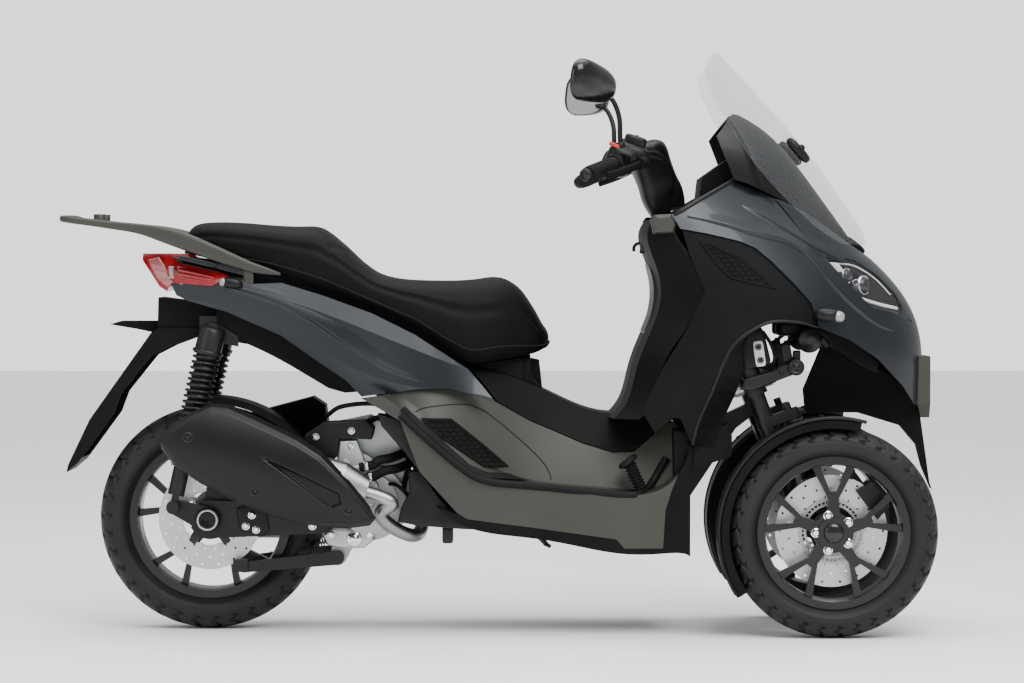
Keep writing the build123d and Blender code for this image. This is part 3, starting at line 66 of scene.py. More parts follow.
def shader(name, colour, rough, metal=0.0, drift=0.12, patch=6.0, grain=900.0, bump=0.15, depth=0.0004, coat=0.0,
           flake=0.0, cells=False, alpha=1.0, shine=0.5):
    """Principled surface in Object coordinates: the colour drifts with a broad noise, a fine noise or cell
    pattern raises a grain, flakes brighten single cells, and roughness follows the broad noise. Patch and grain
    are the scales of the two noises; shine is the specular level."""
    mat = bpy.data.materials.new(name)
    mat.use_nodes = True
    tree, link = mat.node_tree, mat.node_tree.links.new
    body = tree.nodes["Principled BSDF"]
    place = tree.nodes.new("ShaderNodeTexCoord")
    broad = tree.nodes.new("ShaderNodeTexNoise")
    broad.inputs["Scale"].default_value = patch
    broad.inputs["Detail"].default_value = 5
    link(place.outputs["Object"], broad.inputs["Vector"])
    ramp = tree.nodes.new("ShaderNodeValToRGB")
    low = [max(c * (1 - drift), 0) for c in colour]
    high = [min(c * (1 + drift) + 0.002, 1) for c in colour]
    for stop, shade, position in zip(ramp.color_ramp.elements, (low, high), (0.3, 0.7)):
        stop.color, stop.position = (*shade, 1), position
    link(broad.outputs["Fac"], ramp.inputs["Fac"])
    colour_out = ramp.outputs["Color"]
    if flake:
        specks = tree.nodes.new("ShaderNodeTexVoronoi")
        specks.inputs["Scale"].default_value = 1400
        link(place.outputs["Object"], specks.inputs["Vector"])
        lift = tree.nodes.new("ShaderNodeMixRGB")
        lift.blend_type = "ADD"
        bright = tree.nodes.new("ShaderNodeMapRange")
        bright.inputs["From Min"].default_value = 0.55
        bright.inputs["To Max"].default_value = flake
        link(specks.outputs["Color"], bright.inputs["Value"])
        link(bright.outputs["Result"], lift.inputs["Fac"])
        link(colour_out, lift.inputs["Color1"])
        lift.inputs["Color2"].default_value = (0.55, 0.6, 0.66, 1)
        colour_out = lift.outputs["Color"]
    link(colour_out, body.inputs["Base Color"])
    gloss = tree.nodes.new("ShaderNodeMapRange")
    gloss.inputs["To Min"].default_value = max(rough - 0.06, 0.02)
    gloss.inputs["To Max"].default_value = min(rough + 0.08, 1)
    link(broad.outputs["Fac"], gloss.inputs["Value"])
    link(gloss.outputs["Result"], body.inputs["Roughness"])
    fine = tree.nodes.new("ShaderNodeTexVoronoi" if cells else "ShaderNodeTexNoise")
    fine.inputs["Scale"].default_value = grain
    link(place.outputs["Object"], fine.inputs["Vector"])
    raised = tree.nodes.new("ShaderNodeBump")
    raised.inputs["Strength"].default_value = bump
    raised.inputs["Distance"].default_value = depth
    link(fine.outputs["Distance" if cells else "Fac"], raised.inputs["Height"])
    link(raised.outputs["Normal"], body.inputs["Normal"])
    body.inputs["Metallic"].default_value = metal
    body.inputs["Specular IOR Level"].default_value = shine
    body.inputs["Coat Weight"].default_value = coat
    body.inputs["Coat Roughness"].default_value = 0.06
    body.inputs["Alpha"].default_value = alpha
    return mat


GREY = shader("panel_grey", (0.0085, 0.0112, 0.0145), 0.34, metal=0.55, flake=0.022, coat=0.2, drift=0.06,
              bump=0.03)
OLIVE = shader("panel_olive", (0.031, 0.0305, 0.0243), 0.5, metal=0.3, drift=0.06, bump=0.08, grain=1600)
BLACK = shader("plastic_black", (0.0034, 0.0035, 0.0037), 0.55, shine=0.08, drift=0.2, bump=0.3, depth=0.0003,
               cells=True, grain=1100)
SATIN = shader("plastic_satin", (0.0038, 0.0038, 0.0042), 0.38, shine=0.22, drift=0.15, bump=0.06)
SMOKE = shader("plastic_smoke", (0.004, 0.0043, 0.005), 0.34, shine=0.2, drift=0.2, coat=0.05, bump=0.02)
VINYL = shader("vinyl_black", (0.0022, 0.0022, 0.0024), 0.52, shine=0.09, drift=0.15, bump=0.5, depth=0.0005,
               cells=True, grain=620)
SCREEN = shader("screen_clear", (0.15, 0.155, 0.16), 0.06, drift=0.03, bump=0.0, coat=0.1, alpha=0.11, shine=0.4)
LENS = shader("lens_clear", (0.20, 0.21, 0.22), 0.05, drift=0.03, bump=0.0, coat=0.3, alpha=0.045, shine=0.25)
RED = shader("lens_red", (0.20, 0.003, 0.005), 0.12, shine=0.4, drift=0.35, patch=30, coat=0.35, bump=0.25, grain=260,
             cells=True)
AMBER = shader("lens_tip", (0.22, 0.215, 0.20), 0.12, drift=0.25, coat=1.0, bump=0.2, grain=300, cells=True)
CLEAR = shader("lens_rim", (0.34, 0.13, 0.12), 0.08, drift=0.15, coat=0.6, bump=0.2, grain=300, alpha=0.7)
CHROME = shader("chrome_lamp", (0.75, 0.76, 0.78), 0.08, metal=1.0, drift=0.04, bump=0.02)
RUBBER = shader("rubber_black", (0.0035, 0.0035, 0.0036), 0.62, shine=0.15, drift=0.25, bump=0.3, grain=700)
TYRE = shader("tyre_rubber", (0.0085, 0.0085, 0.0088), 0.58, shine=0.26, drift=0.25, patch=9, bump=0.35, grain=520,
              depth=0.0006)
RIM = shader("rim_black", (0.0036, 0.0036, 0.0039), 0.30, shine=0.3, drift=0.15, coat=0.15, bump=0.05)
DISC = shader("disc_steel", (0.55, 0.55, 0.56), 0.34, metal=0.9, drift=0.08, bump=0.15, grain=260, depth=0.0002)
STEEL = shader("steel_dark", (0.0048, 0.0048, 0.0054), 0.38, shine=0.3, drift=0.25, bump=0.1)
ALLOY = shader("alloy", (0.42, 0.43, 0.44), 0.42, metal=0.85, drift=0.14, patch=14, bump=0.3, grain=340, depth=0.0005)
PIPE = shader("exhaust_steel", (0.30, 0.29, 0.28), 0.36, metal=1.0, drift=0.2, patch=10, bump=0.1)
GLOSS = shader("mirror_black", (0.005, 0.005, 0.0056), 0.20, shine=0.3, drift=0.15, coat=0.25, bump=0.02)
MIRROR = shader("mirror_glass", (0.80, 0.82, 0.84), 0.02, metal=1.0, drift=0.02, bump=0.0)
WHITE = shader("sector_white", (0.62, 0.63, 0.62), 0.4, metal=0.3, drift=0.08, bump=0.1)
SWITCH = shader("switch_red", (0.45, 0.02, 0.015), 0.4, drift=0.12, bump=0.1)

# The look of each slot of the CAD, and the slot of each look
LOOK = {
    "panel_grey": GREY, "panel_olive": OLIVE, "plastic_black": BLACK, "plastic_smoke": SMOKE, "vinyl_black": VINYL,
    "screen_clear": SCREEN, "lens_clear": LENS, "lens_red": RED, "lens_amber": AMBER, "chrome_lamp": CHROME,
    "rubber_black": RUBBER, "tyre_rubber": TYRE, "rim_black": RIM, "disc_steel": DISC, "steel_dark": STEEL,
    "alloy": ALLOY, "exhaust_steel": PIPE, "mirror_black": GLOSS,
}
SLOT = {mat: slot for slot, mat in LOOK.items()}
SLOT.update({SATIN: "plastic_black", CLEAR: "lens_clear", MIRROR: "mirror_black", WHITE: "chrome_lamp",
             SWITCH: "plastic_black"})
for part in frame["record"]["subparts"]:
    mesh = nodes[part["node"]].data
    mesh.materials.clear()
    mesh.materials.append(GLOSS if part["node"] == "headlamps" else LOOK[part["material_slot"]])


# Surfaces worked out with numpy: each function returns corner points and quads

def grid(points, close_v=False):
    """Quads of a (u, v) grid of points; closed in v, its last line is joined to its first."""
    nu, nv = points.shape[:2]
    index = np.arange(nu * nv).reshape(nu, nv)
    if close_v:
        index = np.hstack([index, index[:, :1]])
    quads = np.stack([index[:-1, :-1], index[1:, :-1], index[1:, 1:], index[:-1, 1:]], -1).reshape(-1, 4)
    return points.reshape(-1, 3), quads


def join(*shapes):
    """One shape from several: points stacked, quads counted on."""
    starts = np.cumsum([0] + [len(v) for v, _ in shapes[:-1]])
    return np.vstack([v for v, _ in shapes]), np.vstack([q + s for (_, q), s in zip(shapes, starts)])


def smooth_path(points, n):
    """Curve through the points: Catmull-Rom cubic of the four nearest points, sampled evenly in parameter."""
    p = np.asarray(points, float)
    p = np.vstack([2 * p[0] - p[1], p, 2 * p[-1] - p[-2]])
    t = np.linspace(0, len(p) - 3 - 1e-9, n)
    k, f = t.astype(int), (t % 1)[:, None]
    a, b, c, d = p[k], p[k + 1], p[k + 2], p[k + 3]
    return 0.5 * (2 * b + (c - a) * f + (2 * a - 5 * b + 4 * c - d) * f ** 2 + (3 * b - a - 3 * c + d) * f ** 3)


def circle(n):
    """Angles of n places spaced evenly round a circle."""
    return np.linspace(0, 2 * pi, n, endpoint=False)


def unit(vectors):
    """Vectors, or one vector, divided by their lengths."""
    return vectors / np.linalg.norm(vectors, axis=-1, keepdims=True)


def side_path(points, n):
    """Smooth curve in the middle plane through side-view points (x, z)."""
    return smooth_path([(x, 0, z) for x, z in points], n)


def rounded(a, power):
    """Cosine and sine of an angle, their sizes raised to a power: a circle drawn out to a rounded rectangle."""
    return [np.sign(f(a)) * np.abs(f(a)) ** power for f in (np.cos, np.sin)]


def tube(path, radius, sides=12, up=(0.13, 0.37, 0.92)):
    """Circle of one radius, or of one per point, carried along the path across its tangent, with closed ends."""
    path = np.asarray(path, float)
    radius = np.broadcast_to(radius, len(path)).astype(float)
    path = np.vstack([path[:1], path, path[-1:]])
    radius = np.concatenate([[0], radius, [0]])
    tangent = np.gradient(path[1:-1], axis=0)
    tangent = unit(np.vstack([tangent[:1], tangent, tangent[-1:]]))
    across = unit(np.cross(tangent, up))
    over = np.cross(tangent, across)
    a = circle(sides)
    ring = across[:, None] * np.cos(a)[None, :, None] + over[:, None] * np.sin(a)[None, :, None]
    return grid(path[:, None] + radius[:, None, None] * ring, close_v=True)


def axes_of(axis):
    """Unit vector along an axis and two across it."""
    axis = unit(np.asarray(axis, float))
    side = unit(np.cross(axis, (0.31, 0.12, 0.94) if abs(axis[2]) < 0.9 else (1.0, 0.2, 0.0)))
    return axis, side, np.cross(axis, side)


def lathe(profile, centre, axis, n=48):
    """Profile of (radius, distance along the axis) turned about the axis."""
    axis, side, other = axes_of(axis)
    profile = np.asarray(profile, float)
    a = circle(n)
    ring = side * np.cos(a)[:, None] + other * np.sin(a)[:, None]
    radius, far = profile.T[:, :, None, None]
    return grid(np.asarray(centre) + far * axis + radius * ring[None], close_v=True)


def coil(foot, top, radius, wire, turns, sides=8):
    """Helix round the line from foot to top: a circle of the wire's radius carried along it."""
    axis, side, other = axes_of(np.subtract(top, foot))
    t = np.linspace(0, 1, int(turns * 28))
    a = 2 * pi * turns * t
    line = np.asarray(foot) + t[:, None] * np.subtract(top, foot)
    return tube(line + radius * (np.cos(a)[:, None] * side + np.sin(a)[:, None] * other), wire, sides, up=axis)


def pillow(centre, half, power=4.0, turn=None, nu=20, nv=28):
    """Rounded block: a superellipsoid, its sines and cosines raised to 2/power with their signs kept."""
    u = np.linspace(-pi / 2, pi / 2, nu)[:, None]
    v = circle(nv)[None]
    (cu, su), (cv, sv) = rounded(u, 2 / power), rounded(v, 2 / power)
    p = np.stack([cu * cv, cu * sv, su + 0 * v], -1) * np.asarray(half)
    if turn is not None:
        p = p @ np.asarray(turn).T
    return grid(p + np.asarray(centre), close_v=True)


def turn_y(degrees):
    """Rotation matrix about Y."""
    a = radians(degrees)
    return np.array([[cos(a), 0, sin(a)], [0, 1, 0], [-sin(a), 0, cos(a)]])


def bolt(centre, axis, radius, height):
    """Hexagonal bolt head on a round flange, standing along the axis."""
    head = lathe([(0, height), (radius * 0.86, height), (radius, height * 0.8), (radius, 0)], centre, axis, 6)
    flange = lathe([(radius * 1.1, height * 0.25), (radius * 1.45, height * 0.15), (radius * 1.45, -0.001)],
                   centre, axis, 18)
    return join(head, flange)


def mirrored(shape):
    """The same shape on the other side of the middle plane."""
    v, q = shape
    return v * np.array([1, -1, 1]), q[:, ::-1]


def piece(name, shape, mat, body="chassis", stands_for=(), flat=False):
    """Mesh object of a shape with its material, riding on a body; the CAD nodes it stands for are hidden."""
    v, q = shape
    mesh = bpy.data.meshes.new(name)
    mesh.vertices.add(len(v))
    mesh.vertices.foreach_set("co", np.ascontiguousarray(v, np.float32).ravel())
    mesh.loops.add(q.size)
    mesh.loops.foreach_set("vertex_index", np.ascontiguousarray(q, np.int32).ravel())
    mesh.polygons.add(len(q))
    mesh.polygons.foreach_set("loop_start", np.arange(0, q.size, 4, dtype=np.int32))
    mesh.polygons.foreach_set("loop_total", np.full(len(q), 4, np.int32))
    mesh.polygons.foreach_set("use_smooth", np.full(len(q), not flat))
    mesh.update(calc_edges=True)
    mesh.validate()
    mesh.materials.append(mat)
    obj = bpy.data.objects.new(name, mesh)
    bpy.context.scene.collection.objects.link(obj)
    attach(obj, body)
    if stands_for:
        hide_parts(*stands_for)
    return obj


def step(a, b, x):
    """Smooth rise from 0 at a to 1 at b."""
    t = np.clip((x - a) / (b - a), 0, 1)
    return t * t * (3 - 2 * t)


# Tyres with a zigzag tread, standing for the plain CAD tyres

def tyre_shape(centre, radius, width, rim, pitches=34, steps=20, lean=0.55, depth=0.0062):
    """Tyre as a surface of the angle round the axle and the way round its section. The section is a rounded
    outline; the tread is pressed in where a slanted, zigzag saw of the angle and the width falls inside a groove."""
    section = np.array([(0.0, 0.345), (0.15, 0.352), (0.30, 0.462), (0.46, 0.5), (0.60, 0.495), (0.74, 0.450),
                        (0.88, 0.355), (0.965, 0.19), (1.0, 0.0)])
    section = np.vstack([section, section[-2::-1] * (1, -1)])
    line = smooth_path(section, 110)
    tall = line[:, :1]
    a = circle(steps * pitches)
    r = rim + tall * (radius - rim) + 0 * a[None]
    y = line[:, 1:] * width + 0 * a[None]
    s = np.abs(y) / (width / 2)
    way = np.gradient(line * (radius - rim, width), axis=0)
    inward = unit(np.stack([-way[:, 1], way[:, 0]], -1))
    inward = inward * -np.sign(inward[len(line) // 2, 0])
    zigzag = np.abs((2.6 * s) % 1 - 0.5) + np.abs(((tall - 0.60) / 0.17) % 1 - 0.5)
    phase = (a[None] * pitches / (2 * pi) + lean * s + 0.55 * zigzag + 0.25 * (y > 0)) % 1
    groove = np.exp(-((phase - 0.5) / 0.12) ** 4) * (s > 0.12) * step(0.60, 0.66, tall)
    middle = np.exp(-(s / 0.05) ** 4) * (tall > 0.9)
    press = depth * np.clip(groove + 0.7 * middle, 0, 1) + 0.0015 * np.exp(-((tall - 0.575) / 0.012) ** 2)
    r, y = r + press * inward[:, :1], y + press * inward[:, 1:]
    rib = 0.0009 * np.exp(-((tall - 0.40) / 0.018) ** 2)
    y = y + np.sign(y) * rib
    points = np.stack([r * np.cos(a), y, r * np.sin(a)], -1) + centre
    return grid(points, close_v=True)


def wheel_centre(side):
    """Middle of a front wheel."""
    return FRONT_AXLE + np.array([0, side * WHEEL_Y, 0])


for name, side in SIDES.items():
    piece(f"tread_front_{name}", tyre_shape(wheel_centre(side), **FRONT_TYRE), TYRE, f"wheel_front_{name}",
          stands_for=[f"tyre_front_{name}"])
piece("tread_rear", tyre_shape(REAR_AXLE, **REAR_TYRE), TYRE, "wheel_rear", stands_for=["tyre_rear"])


# Brake discs with drilled rings, wheel nuts and caps

def drilled_ring(centre, inner, outer, around, rows, hole, thick):
    """Flat ring in tiles, each a square frame round a hole: the frame's outer edge is a direction divided by its
    larger part, its inner edge a circle. The tiles are bent round the axle; odd rows are half a tile on."""
    a = circle(16)
    way = np.stack([np.cos(a), np.sin(a)], -1)
    square = way / np.abs(way).max(1, keepdims=True)
    small = way * 2 * hole / np.array([pi * (inner + outer) / around, (outer - inner) / rows])
    loops = np.stack([square, small, small, square])
    j, i = [k.ravel()[:, None, None] for k in np.meshgrid(np.arange(rows), np.arange(around), indexing="ij")]
    angle = (i + 0.5 * (j % 2) + loops[None, ..., 0] / 2) * 2 * pi / around
    radius = inner + (j + 0.5 + loops[None, ..., 1] / 2) * (outer - inner) / rows
    y = np.array([-1, -1, 1, 1])[None, :, None] * thick / 2 + 0 * radius
    points = np.stack([radius * np.cos(angle), y, radius * np.sin(angle)], -1) + centre
    _, quads = grid(points[0], close_v=True)
    count = points.shape[1] * points.shape[2]
    quads = (quads[None] + count * np.arange(len(points))[:, None, None]).reshape(-1, 4)
    edges = [lathe([(r, -thick / 2), (r, thick / 2)], centre, AXLE, 96) for r in (inner, outer)]
    return join((points.reshape(-1, 3), quads), *edges)


def round_axle(shape, centre, angles):
    """Copies of a shape turned about Y through the centre."""
    v, q = shape
    c, s = np.cos(angles)[:, None], np.sin(angles)[:, None]
    p = v - centre
    turned = np.stack([c * p[:, 0] - s * p[:, 2], 0 * c + p[:, 1], s * p[:, 0] + c * p[:, 2]], -1) + centre
    quads = (q[None] + len(v) * np.arange(len(angles))[:, None, None]).reshape(-1, 4)
    return turned.reshape(-1, 3), quads


def disc_shape(centre, radius, y):
    """Drilled ring with ten rivets, and the hub ring with five arms that carries it."""
    middle = centre + np.array([0, y, 0])
    arm = pillow(middle + np.array([0.48 * radius, 0, 0]), (0.13 * radius, 0.0032, 0.010), 6)
    rivet = lathe([(0, 0.0045), (0.0055, 0.0045), (0.0062, 0.003), (0.0062, -0.003), (0.0055, -0.0045), (0, -0.0045)],
                  middle + np.array([0.565 * radius, 0, 0]), AXLE, 14)
    hub = lathe([(0.0365, -0.0025), (0.05, -0.0025), (0.05, 0.0025), (0.0365, 0.0025)], middle, AXLE, 48)
    ring = join(drilled_ring(middle, 0.53 * radius, radius, 18, 3, 0.0027, 0.005),
                round_axle(rivet, middle, np.arange(10) * 2 * pi / 10))
    return ring, join(hub, round_axle(arm, middle, FIFTHS + 0.3))


for name, side in SIDES.items():
    hub, out = wheel_centre(side), np.array([0, side, 0])
    body = f"wheel_front_{name}"
    ring, spider = disc_shape(hub, 0.129, -side * 0.030)
    piece(f"disc_drilled_{name}", ring, DISC, body, stands_for=[f"disc_front_{name}"], flat=True)
    piece(f"disc_spider_{name}", spider, RIM, body)
    teeth = drilled_ring(hub - out * 0.024, 0.058, 0.075, 44, 1, 0.0034, 0.003)
    piece(f"speed_ring_{name}", teeth, ALLOY, body, flat=True)
    nut = bolt(hub + out * 0.0335 + np.array([0.041, 0, 0]), out, 0.0075, 0.010)
    piece(f"wheel_nuts_{name}", round_axle(nut, hub, FIFTHS + 0.63), CHROME, body, flat=True)
    cap = lathe([(0, 0.0085), (0.012, 0.008), (0.020, 0.006), (0.023, 0.002), (0.024, -0.002)],
                hub + out * 0.040, out, 40)
    piece(f"wheel_cap_{name}", cap, GLOSS, body)
    valve = tube(hub + np.outer(np.linspace(0.152, 0.128, 5), [0.3, 0, 0.954]) + out * 0.026,
                 [0.006, 0.005, 0.004, 0.004, 0.0045], 10)
    piece(f"valve_{name}", valve, RUBBER, body)
ring, spider = disc_shape(REAR_AXLE, 0.120, -0.062)
piece("disc_drilled_rear", ring, DISC, "wheel_rear", stands_for=["disc_rear"], flat=True)
piece("disc_spider_rear", spider, RIM, "wheel_rear")

# Springs: coils round the front legs and, with their seats and top covers, round the rear shocks
rise = unit(SHOCK_TOP - SHOCK_FOOT)
for name, side in SIDES.items():
    foot = KINGPIN + UP * 0.105 + AHEAD * 0.058 + np.array([0, side * KINGPIN_Y, 0])
    piece(f"leg_spring_{name}", coil(foot, foot + UP * 0.15, 0.0235, 0.0035, 7), STEEL, f"knuckle_{name}")
for name, side in SIDES.items():
    foot = SHOCK_FOOT + np.array([0, side * SHOCK_Y, 0])
    coils = coil(foot + rise * 0.150, foot + rise * 0.364, 0.0295, 0.0036, 16)
    seats = [lathe([(0.012, -0.004), (0.0355, -0.004), (0.0355, 0.004), (0.012, 0.004)], foot + rise * d, rise, 30)
             for d in (0.146, 0.369)]
    top = lathe([(0.012, 0.428), (0.027, 0.426), (0.0305, 0.418), (0.0315, 0.37), (0.0315, 0.362)], foot, rise, 36)
    piece(f"shock_spring_{name}", join(coils, *seats, top), STEEL)


# Surfaces that lie on the CAD panels

def cast(obj, start, way):
    """Place in the world where a ray first meets a CAD node, or None."""
    back = obj.matrix_world.inverted()
    hit, place, _, _ = obj.ray_cast(back @ Vector(start), back.to_3x3() @ Vector(way))
    return obj.matrix_world @ place if hit else None


def fitted(places, values, low, high, degree):
    """Polynomial of two coordinates, scaled to a box, that comes nearest to values at places by least squares."""
    middle, reach = np.add(low, high) / 2, np.subtract(high, low) / 2
    powers = [(i, j) for i in range(degree + 1) for j in range(degree + 1 - i)]

    def terms(a, b):
        """Products of powers of both coordinates, up to the degree in all."""
        u, w = (a - middle[0]) / reach[0], (b - middle[1]) / reach[1]
        return np.stack([u ** i * w ** j for i, j in powers], -1)

    weights = np.linalg.lstsq(terms(*np.transpose(places)), values, rcond=None)[0]
    return lambda a, b: terms(a, b) @ weights


def skin(names, low, high, degree=5, count=26):
    """Outer skin of CAD panels on the right as y(x, z): a polynomial fitted to rays cast inwards over a box."""
    bpy.context.view_layer.update()
    outside = {}
    for name in names:
        for x in np.linspace(low[0], high[0], count):
            for z in np.linspace(low[1], high[1], count):
                place = cast(nodes[name], (x, -1, z), (0, 1, 0))
                if place is not None and place.y < -0.03:
                    outside[x, z] = min(place.y, outside.get((x, z), 0))
    return fitted(list(outside), list(outside.values()), low, high, degree)


def lay(path, names, lift, share=8):
    """Path moved out to the right side of CAD panels: at each point the outermost ray hit, evened over its length."""
    bpy.context.view_layer.update()
    hits = [[cast(nodes[name], (x, -1, z), (0, 1, 0)) for name in names] for x, _, z in path]
    y = np.array([min([0.0] + [place.y for place in row if place is not None]) for row in hits])
    wide = len(path) // share
    even = np.convolve(np.pad(y, wide, mode="edge"), np.ones(2 * wide + 1) / (2 * wide + 1), mode="valid")
    return np.stack([path[:, 0], np.minimum(y, even) * 0.5 + even * 0.5 - lift, path[:, 2]], -1)


def sunk(path, face, depth):
    """Path set a depth under a fitted skin."""
    return np.stack([path[:, 0], face(path[:, 0], path[:, 2]) + depth, path[:, 2]], -1)


def along(points, n):
    """Polyline sampled at even steps of its length."""
    points = np.asarray(points, float)
    far = np.concatenate([[0], np.cumsum(np.linalg.norm(np.diff(points, axis=0), axis=1))])
    t = np.linspace(0, far[-1], n)
    return np.stack([np.interp(t, far, points[:, k]) for k in range(points.shape[1])], -1)


def between(lower, upper, nu, nv):
    """Side-view sheet ruled from a lower to an upper curve: x, z and the distance along the rule to the nearer."""
    low, high = along(lower, nu)[:, None], along(upper, nu)[:, None]
    v = np.linspace(0, 1, nv)[None]
    x, z = np.moveaxis(low + (high - low) * v[..., None], -1, 0)
    return x, z, np.minimum(v, 1 - v) * np.linalg.norm(high - low, axis=-1)


def cells(x, z, wide, tall):
    """Honeycomb: 0 in a cell, 1 on its wall, by the hexagon measure to the nearest point of a triangular lattice."""
    u, w, r = x / wide, z / tall, 3 ** 0.5

    def measure(du, dw):
        """Half the width of the hexagon through a place, about the nearest point of one rectangular lattice."""
        du, dw = np.abs(du - np.round(du)), np.abs(dw - r * np.round(dw / r))
        return np.maximum(du, du / 2 + dw * r / 2)

    return step(0.36, 0.45, np.minimum(measure(u, w), measure(u - 0.5, w - r / 2)))


def vent(lower, upper, face, nu, nv, wide=0.0155, tall=0.0115):
    """Honeycomb patch between two side-view curves, laid on a skin, with a raised rim that falls to the skin."""
    x, z, edge = between(lower, upper, nu, nv)
    rim = step(0.0075, 0.0050, edge) * step(-0.0005, 0.0020, edge)
    comb = 0.0006 + 0.0026 * cells(x, z, wide, tall) * step(0.002, 0.006, edge)
    lift = np.maximum(comb, 0.0042 * rim - 0.0006)
    return grid(np.stack([x, face(x, z) - lift, z], -1))


def ridge(path, face, above, below, height, n=120, across=17):
    """Crease on a skin: a peak carried along a side-view path, falling away over one width above it and another
    below, and running out at both ends."""
    line = side_path(path, n)[:, [0, 2]]
    way = unit(np.gradient(line, axis=0))
    normal = np.stack([-way[:, 1], way[:, 0]], -1) * np.sign(way[:1, 0])
    s = np.linspace(-1, 1, across)[None]
    t = np.linspace(0, 1, n)[:, None]
    reach = np.where(s > 0, s * above, s * below) * (0.25 + 0.75 * np.sin(pi * t) ** 0.5)
    x, z = line[:, :1] + reach * normal[:, :1], line[:, 1:] + reach * normal[:, 1:]
    lift = height * (1 - np.abs(s)) ** 1.3 * np.sin(pi * t) ** 0.6 - 0.0004
    return grid(np.stack([x, face(x, z) - lift, z], -1))


def both(name, shape, mat, body="chassis", flat=False):
    """The same piece on the right and, mirrored, on the left; {} in its name or body stands for the side."""
    name = name if "{}" in name else name + "_{}"
    for side, drawn in (("right", shape), ("left", mirrored(shape))):
        piece(name.format(side), drawn, mat, body.format(side), flat=flat)


# Vents and creases on the panels
shield = skin(["lower_shields", "side_fairings"], (0.44, 0.74), (0.70, 0.93))
both("shield_vent", vent([(0.458, 0.907), (0.497, 0.855), (0.532, 0.821), (0.638, 0.797)],
                         [(0.458, 0.907), (0.484, 0.905), (0.552, 0.874), (0.596, 0.839), (0.638, 0.797)],
                         shield, 170, 84), BLACK)
skirt = skin(["floorboards"], (-0.20, 0.36), (0.06, 0.53))
both("skirt_vent", vent([(-0.175, 0.503), (-0.150, 0.470), (-0.030, 0.390), (0.028, 0.389)],
                        [(-0.175, 0.503), (-0.105, 0.501), (-0.030, 0.440), (0.028, 0.389)],
                        skirt, 190, 70), BLACK)
fairing = skin(["side_fairings", "nose_panel"], (0.41, 0.66), (0.96, 1.04), 6, 34)
both("fairing_crease", ridge([(0.434, 0.965), (0.506, 0.951), (0.593, 0.927), (0.657, 0.912), (0.703, 0.883),
                              (0.755, 0.826), (0.815, 0.766), (0.872, 0.721), (0.924, 0.698)],
                             fairing, 0.030, 0.012, 0.0075), GREY)
tail_skin = skin(["tail_panels"], (-0.70, 0.54), (-0.02, 0.86), 6, 34)
both("tail_crease", ridge([(-0.640, 0.806), (-0.520, 0.772), (-0.430, 0.730), (-0.350, 0.676), (-0.255, 0.618),
                           (-0.175, 0.585)], tail_skin, 0.030, 0.010, 0.0065), GREY)

# Two-level seat, by stations of x, top, half width and base
SEAT = np.array([
    (-0.728, 0.902, 0.060, 0.882), (-0.722, 0.930, 0.092, 0.880), (-0.700, 0.949, 0.112, 0.875),
    (-0.650, 0.956, 0.132, 0.8646), (-0.590, 0.955, 0.142, 0.852), (-0.530, 0.950, 0.147, 0.840),
    (-0.470, 0.946, 0.151, 0.822), (-0.425, 0.944, 0.154, 0.806), (-0.398, 0.933, 0.155, 0.797),
    (-0.358, 0.901, 0.157, 0.783), (-0.318, 0.864, 0.158, 0.769), (-0.280, 0.838, 0.158, 0.754),
    (-0.235, 0.826, 0.158, 0.733), (-0.180, 0.822, 0.157, 0.704), (-0.110, 0.822, 0.153, 0.652),
    (-0.060, 0.824, 0.147, 0.626), (-0.012, 0.827, 0.135, 0.631), (0.022, 0.819, 0.122, 0.636),
    (0.055, 0.795, 0.106, 0.641), (0.085, 0.752, 0.090, 0.648), (0.104, 0.718, 0.073, 0.656),
    (0.114, 0.703, 0.057, 0.663), (0.1185, 0.693, 0.041, 0.670), (0.120, 0.684, 0.024, 0.678)])


def seat_stations(n):
    """The seat's x, top, half width and base at n places: a smooth curve through its stations."""
    return smooth_path(SEAT, n).T


def waist(rise):
    """Share of the seat's width left at a height of its arch: a shallow bell is taken out under the shoulder."""
    return 1 - 0.035 * np.exp(-((rise - 0.60) / 0.05) ** 2)


def seat_shape(n=170, around=64):
    """Seat cover: at each x an arch from base to base, its sides and top the signed roots of cosine and sine, with
    a waist under the shoulder roll, dished middles for both riders and a seam pressed in across the step."""
    x, top, half, base = seat_stations(n)[:, :, None]
    a = np.linspace(0, pi, around)[None]
    c, s = np.cos(a), np.sin(a)
    rise = np.abs(s) ** 0.42
    z = base + (top - base) * rise
    y = half * np.sign(c) * np.abs(c) ** 0.62 * waist(rise)
    rider = np.exp(-((x + 0.16) / 0.13) ** 4)
    pillion = np.exp(-((x + 0.56) / 0.11) ** 4)
    z = z - (0.010 * rider + 0.006 * pillion) * np.exp(-(y / 0.06) ** 2) * (rise > 0.5)
    step_seam = np.exp(-((x + 0.300 + 0.10 * (np.abs(y) / 0.15) ** 2) / 0.006) ** 2) * step(0.35, 0.6, rise)
    z = z - 0.004 * step_seam
    bottom = np.stack([x[:, 0], 0 * x[:, 0], base[:, 0] + 0.001], -1)[:, None]
    shell = np.stack([x + 0 * a, y, z], -1)
    return grid(np.concatenate([shell, bottom], 1), close_v=True)


def seat_line(angle, lift, first=0.03, last=0.96, n=120):
    """Path along the seat's right flank: its arch at one angle, between two shares of its length, moved outwards."""
    x, top, half, base = seat_stations(n)[:, int(first * n):int(last * n)]
    rise = sin(angle) ** 0.42
    y = half * cos(angle) ** 0.62 * waist(rise)
    return np.stack([x, -y - lift, base + (top - base) * rise], -1)


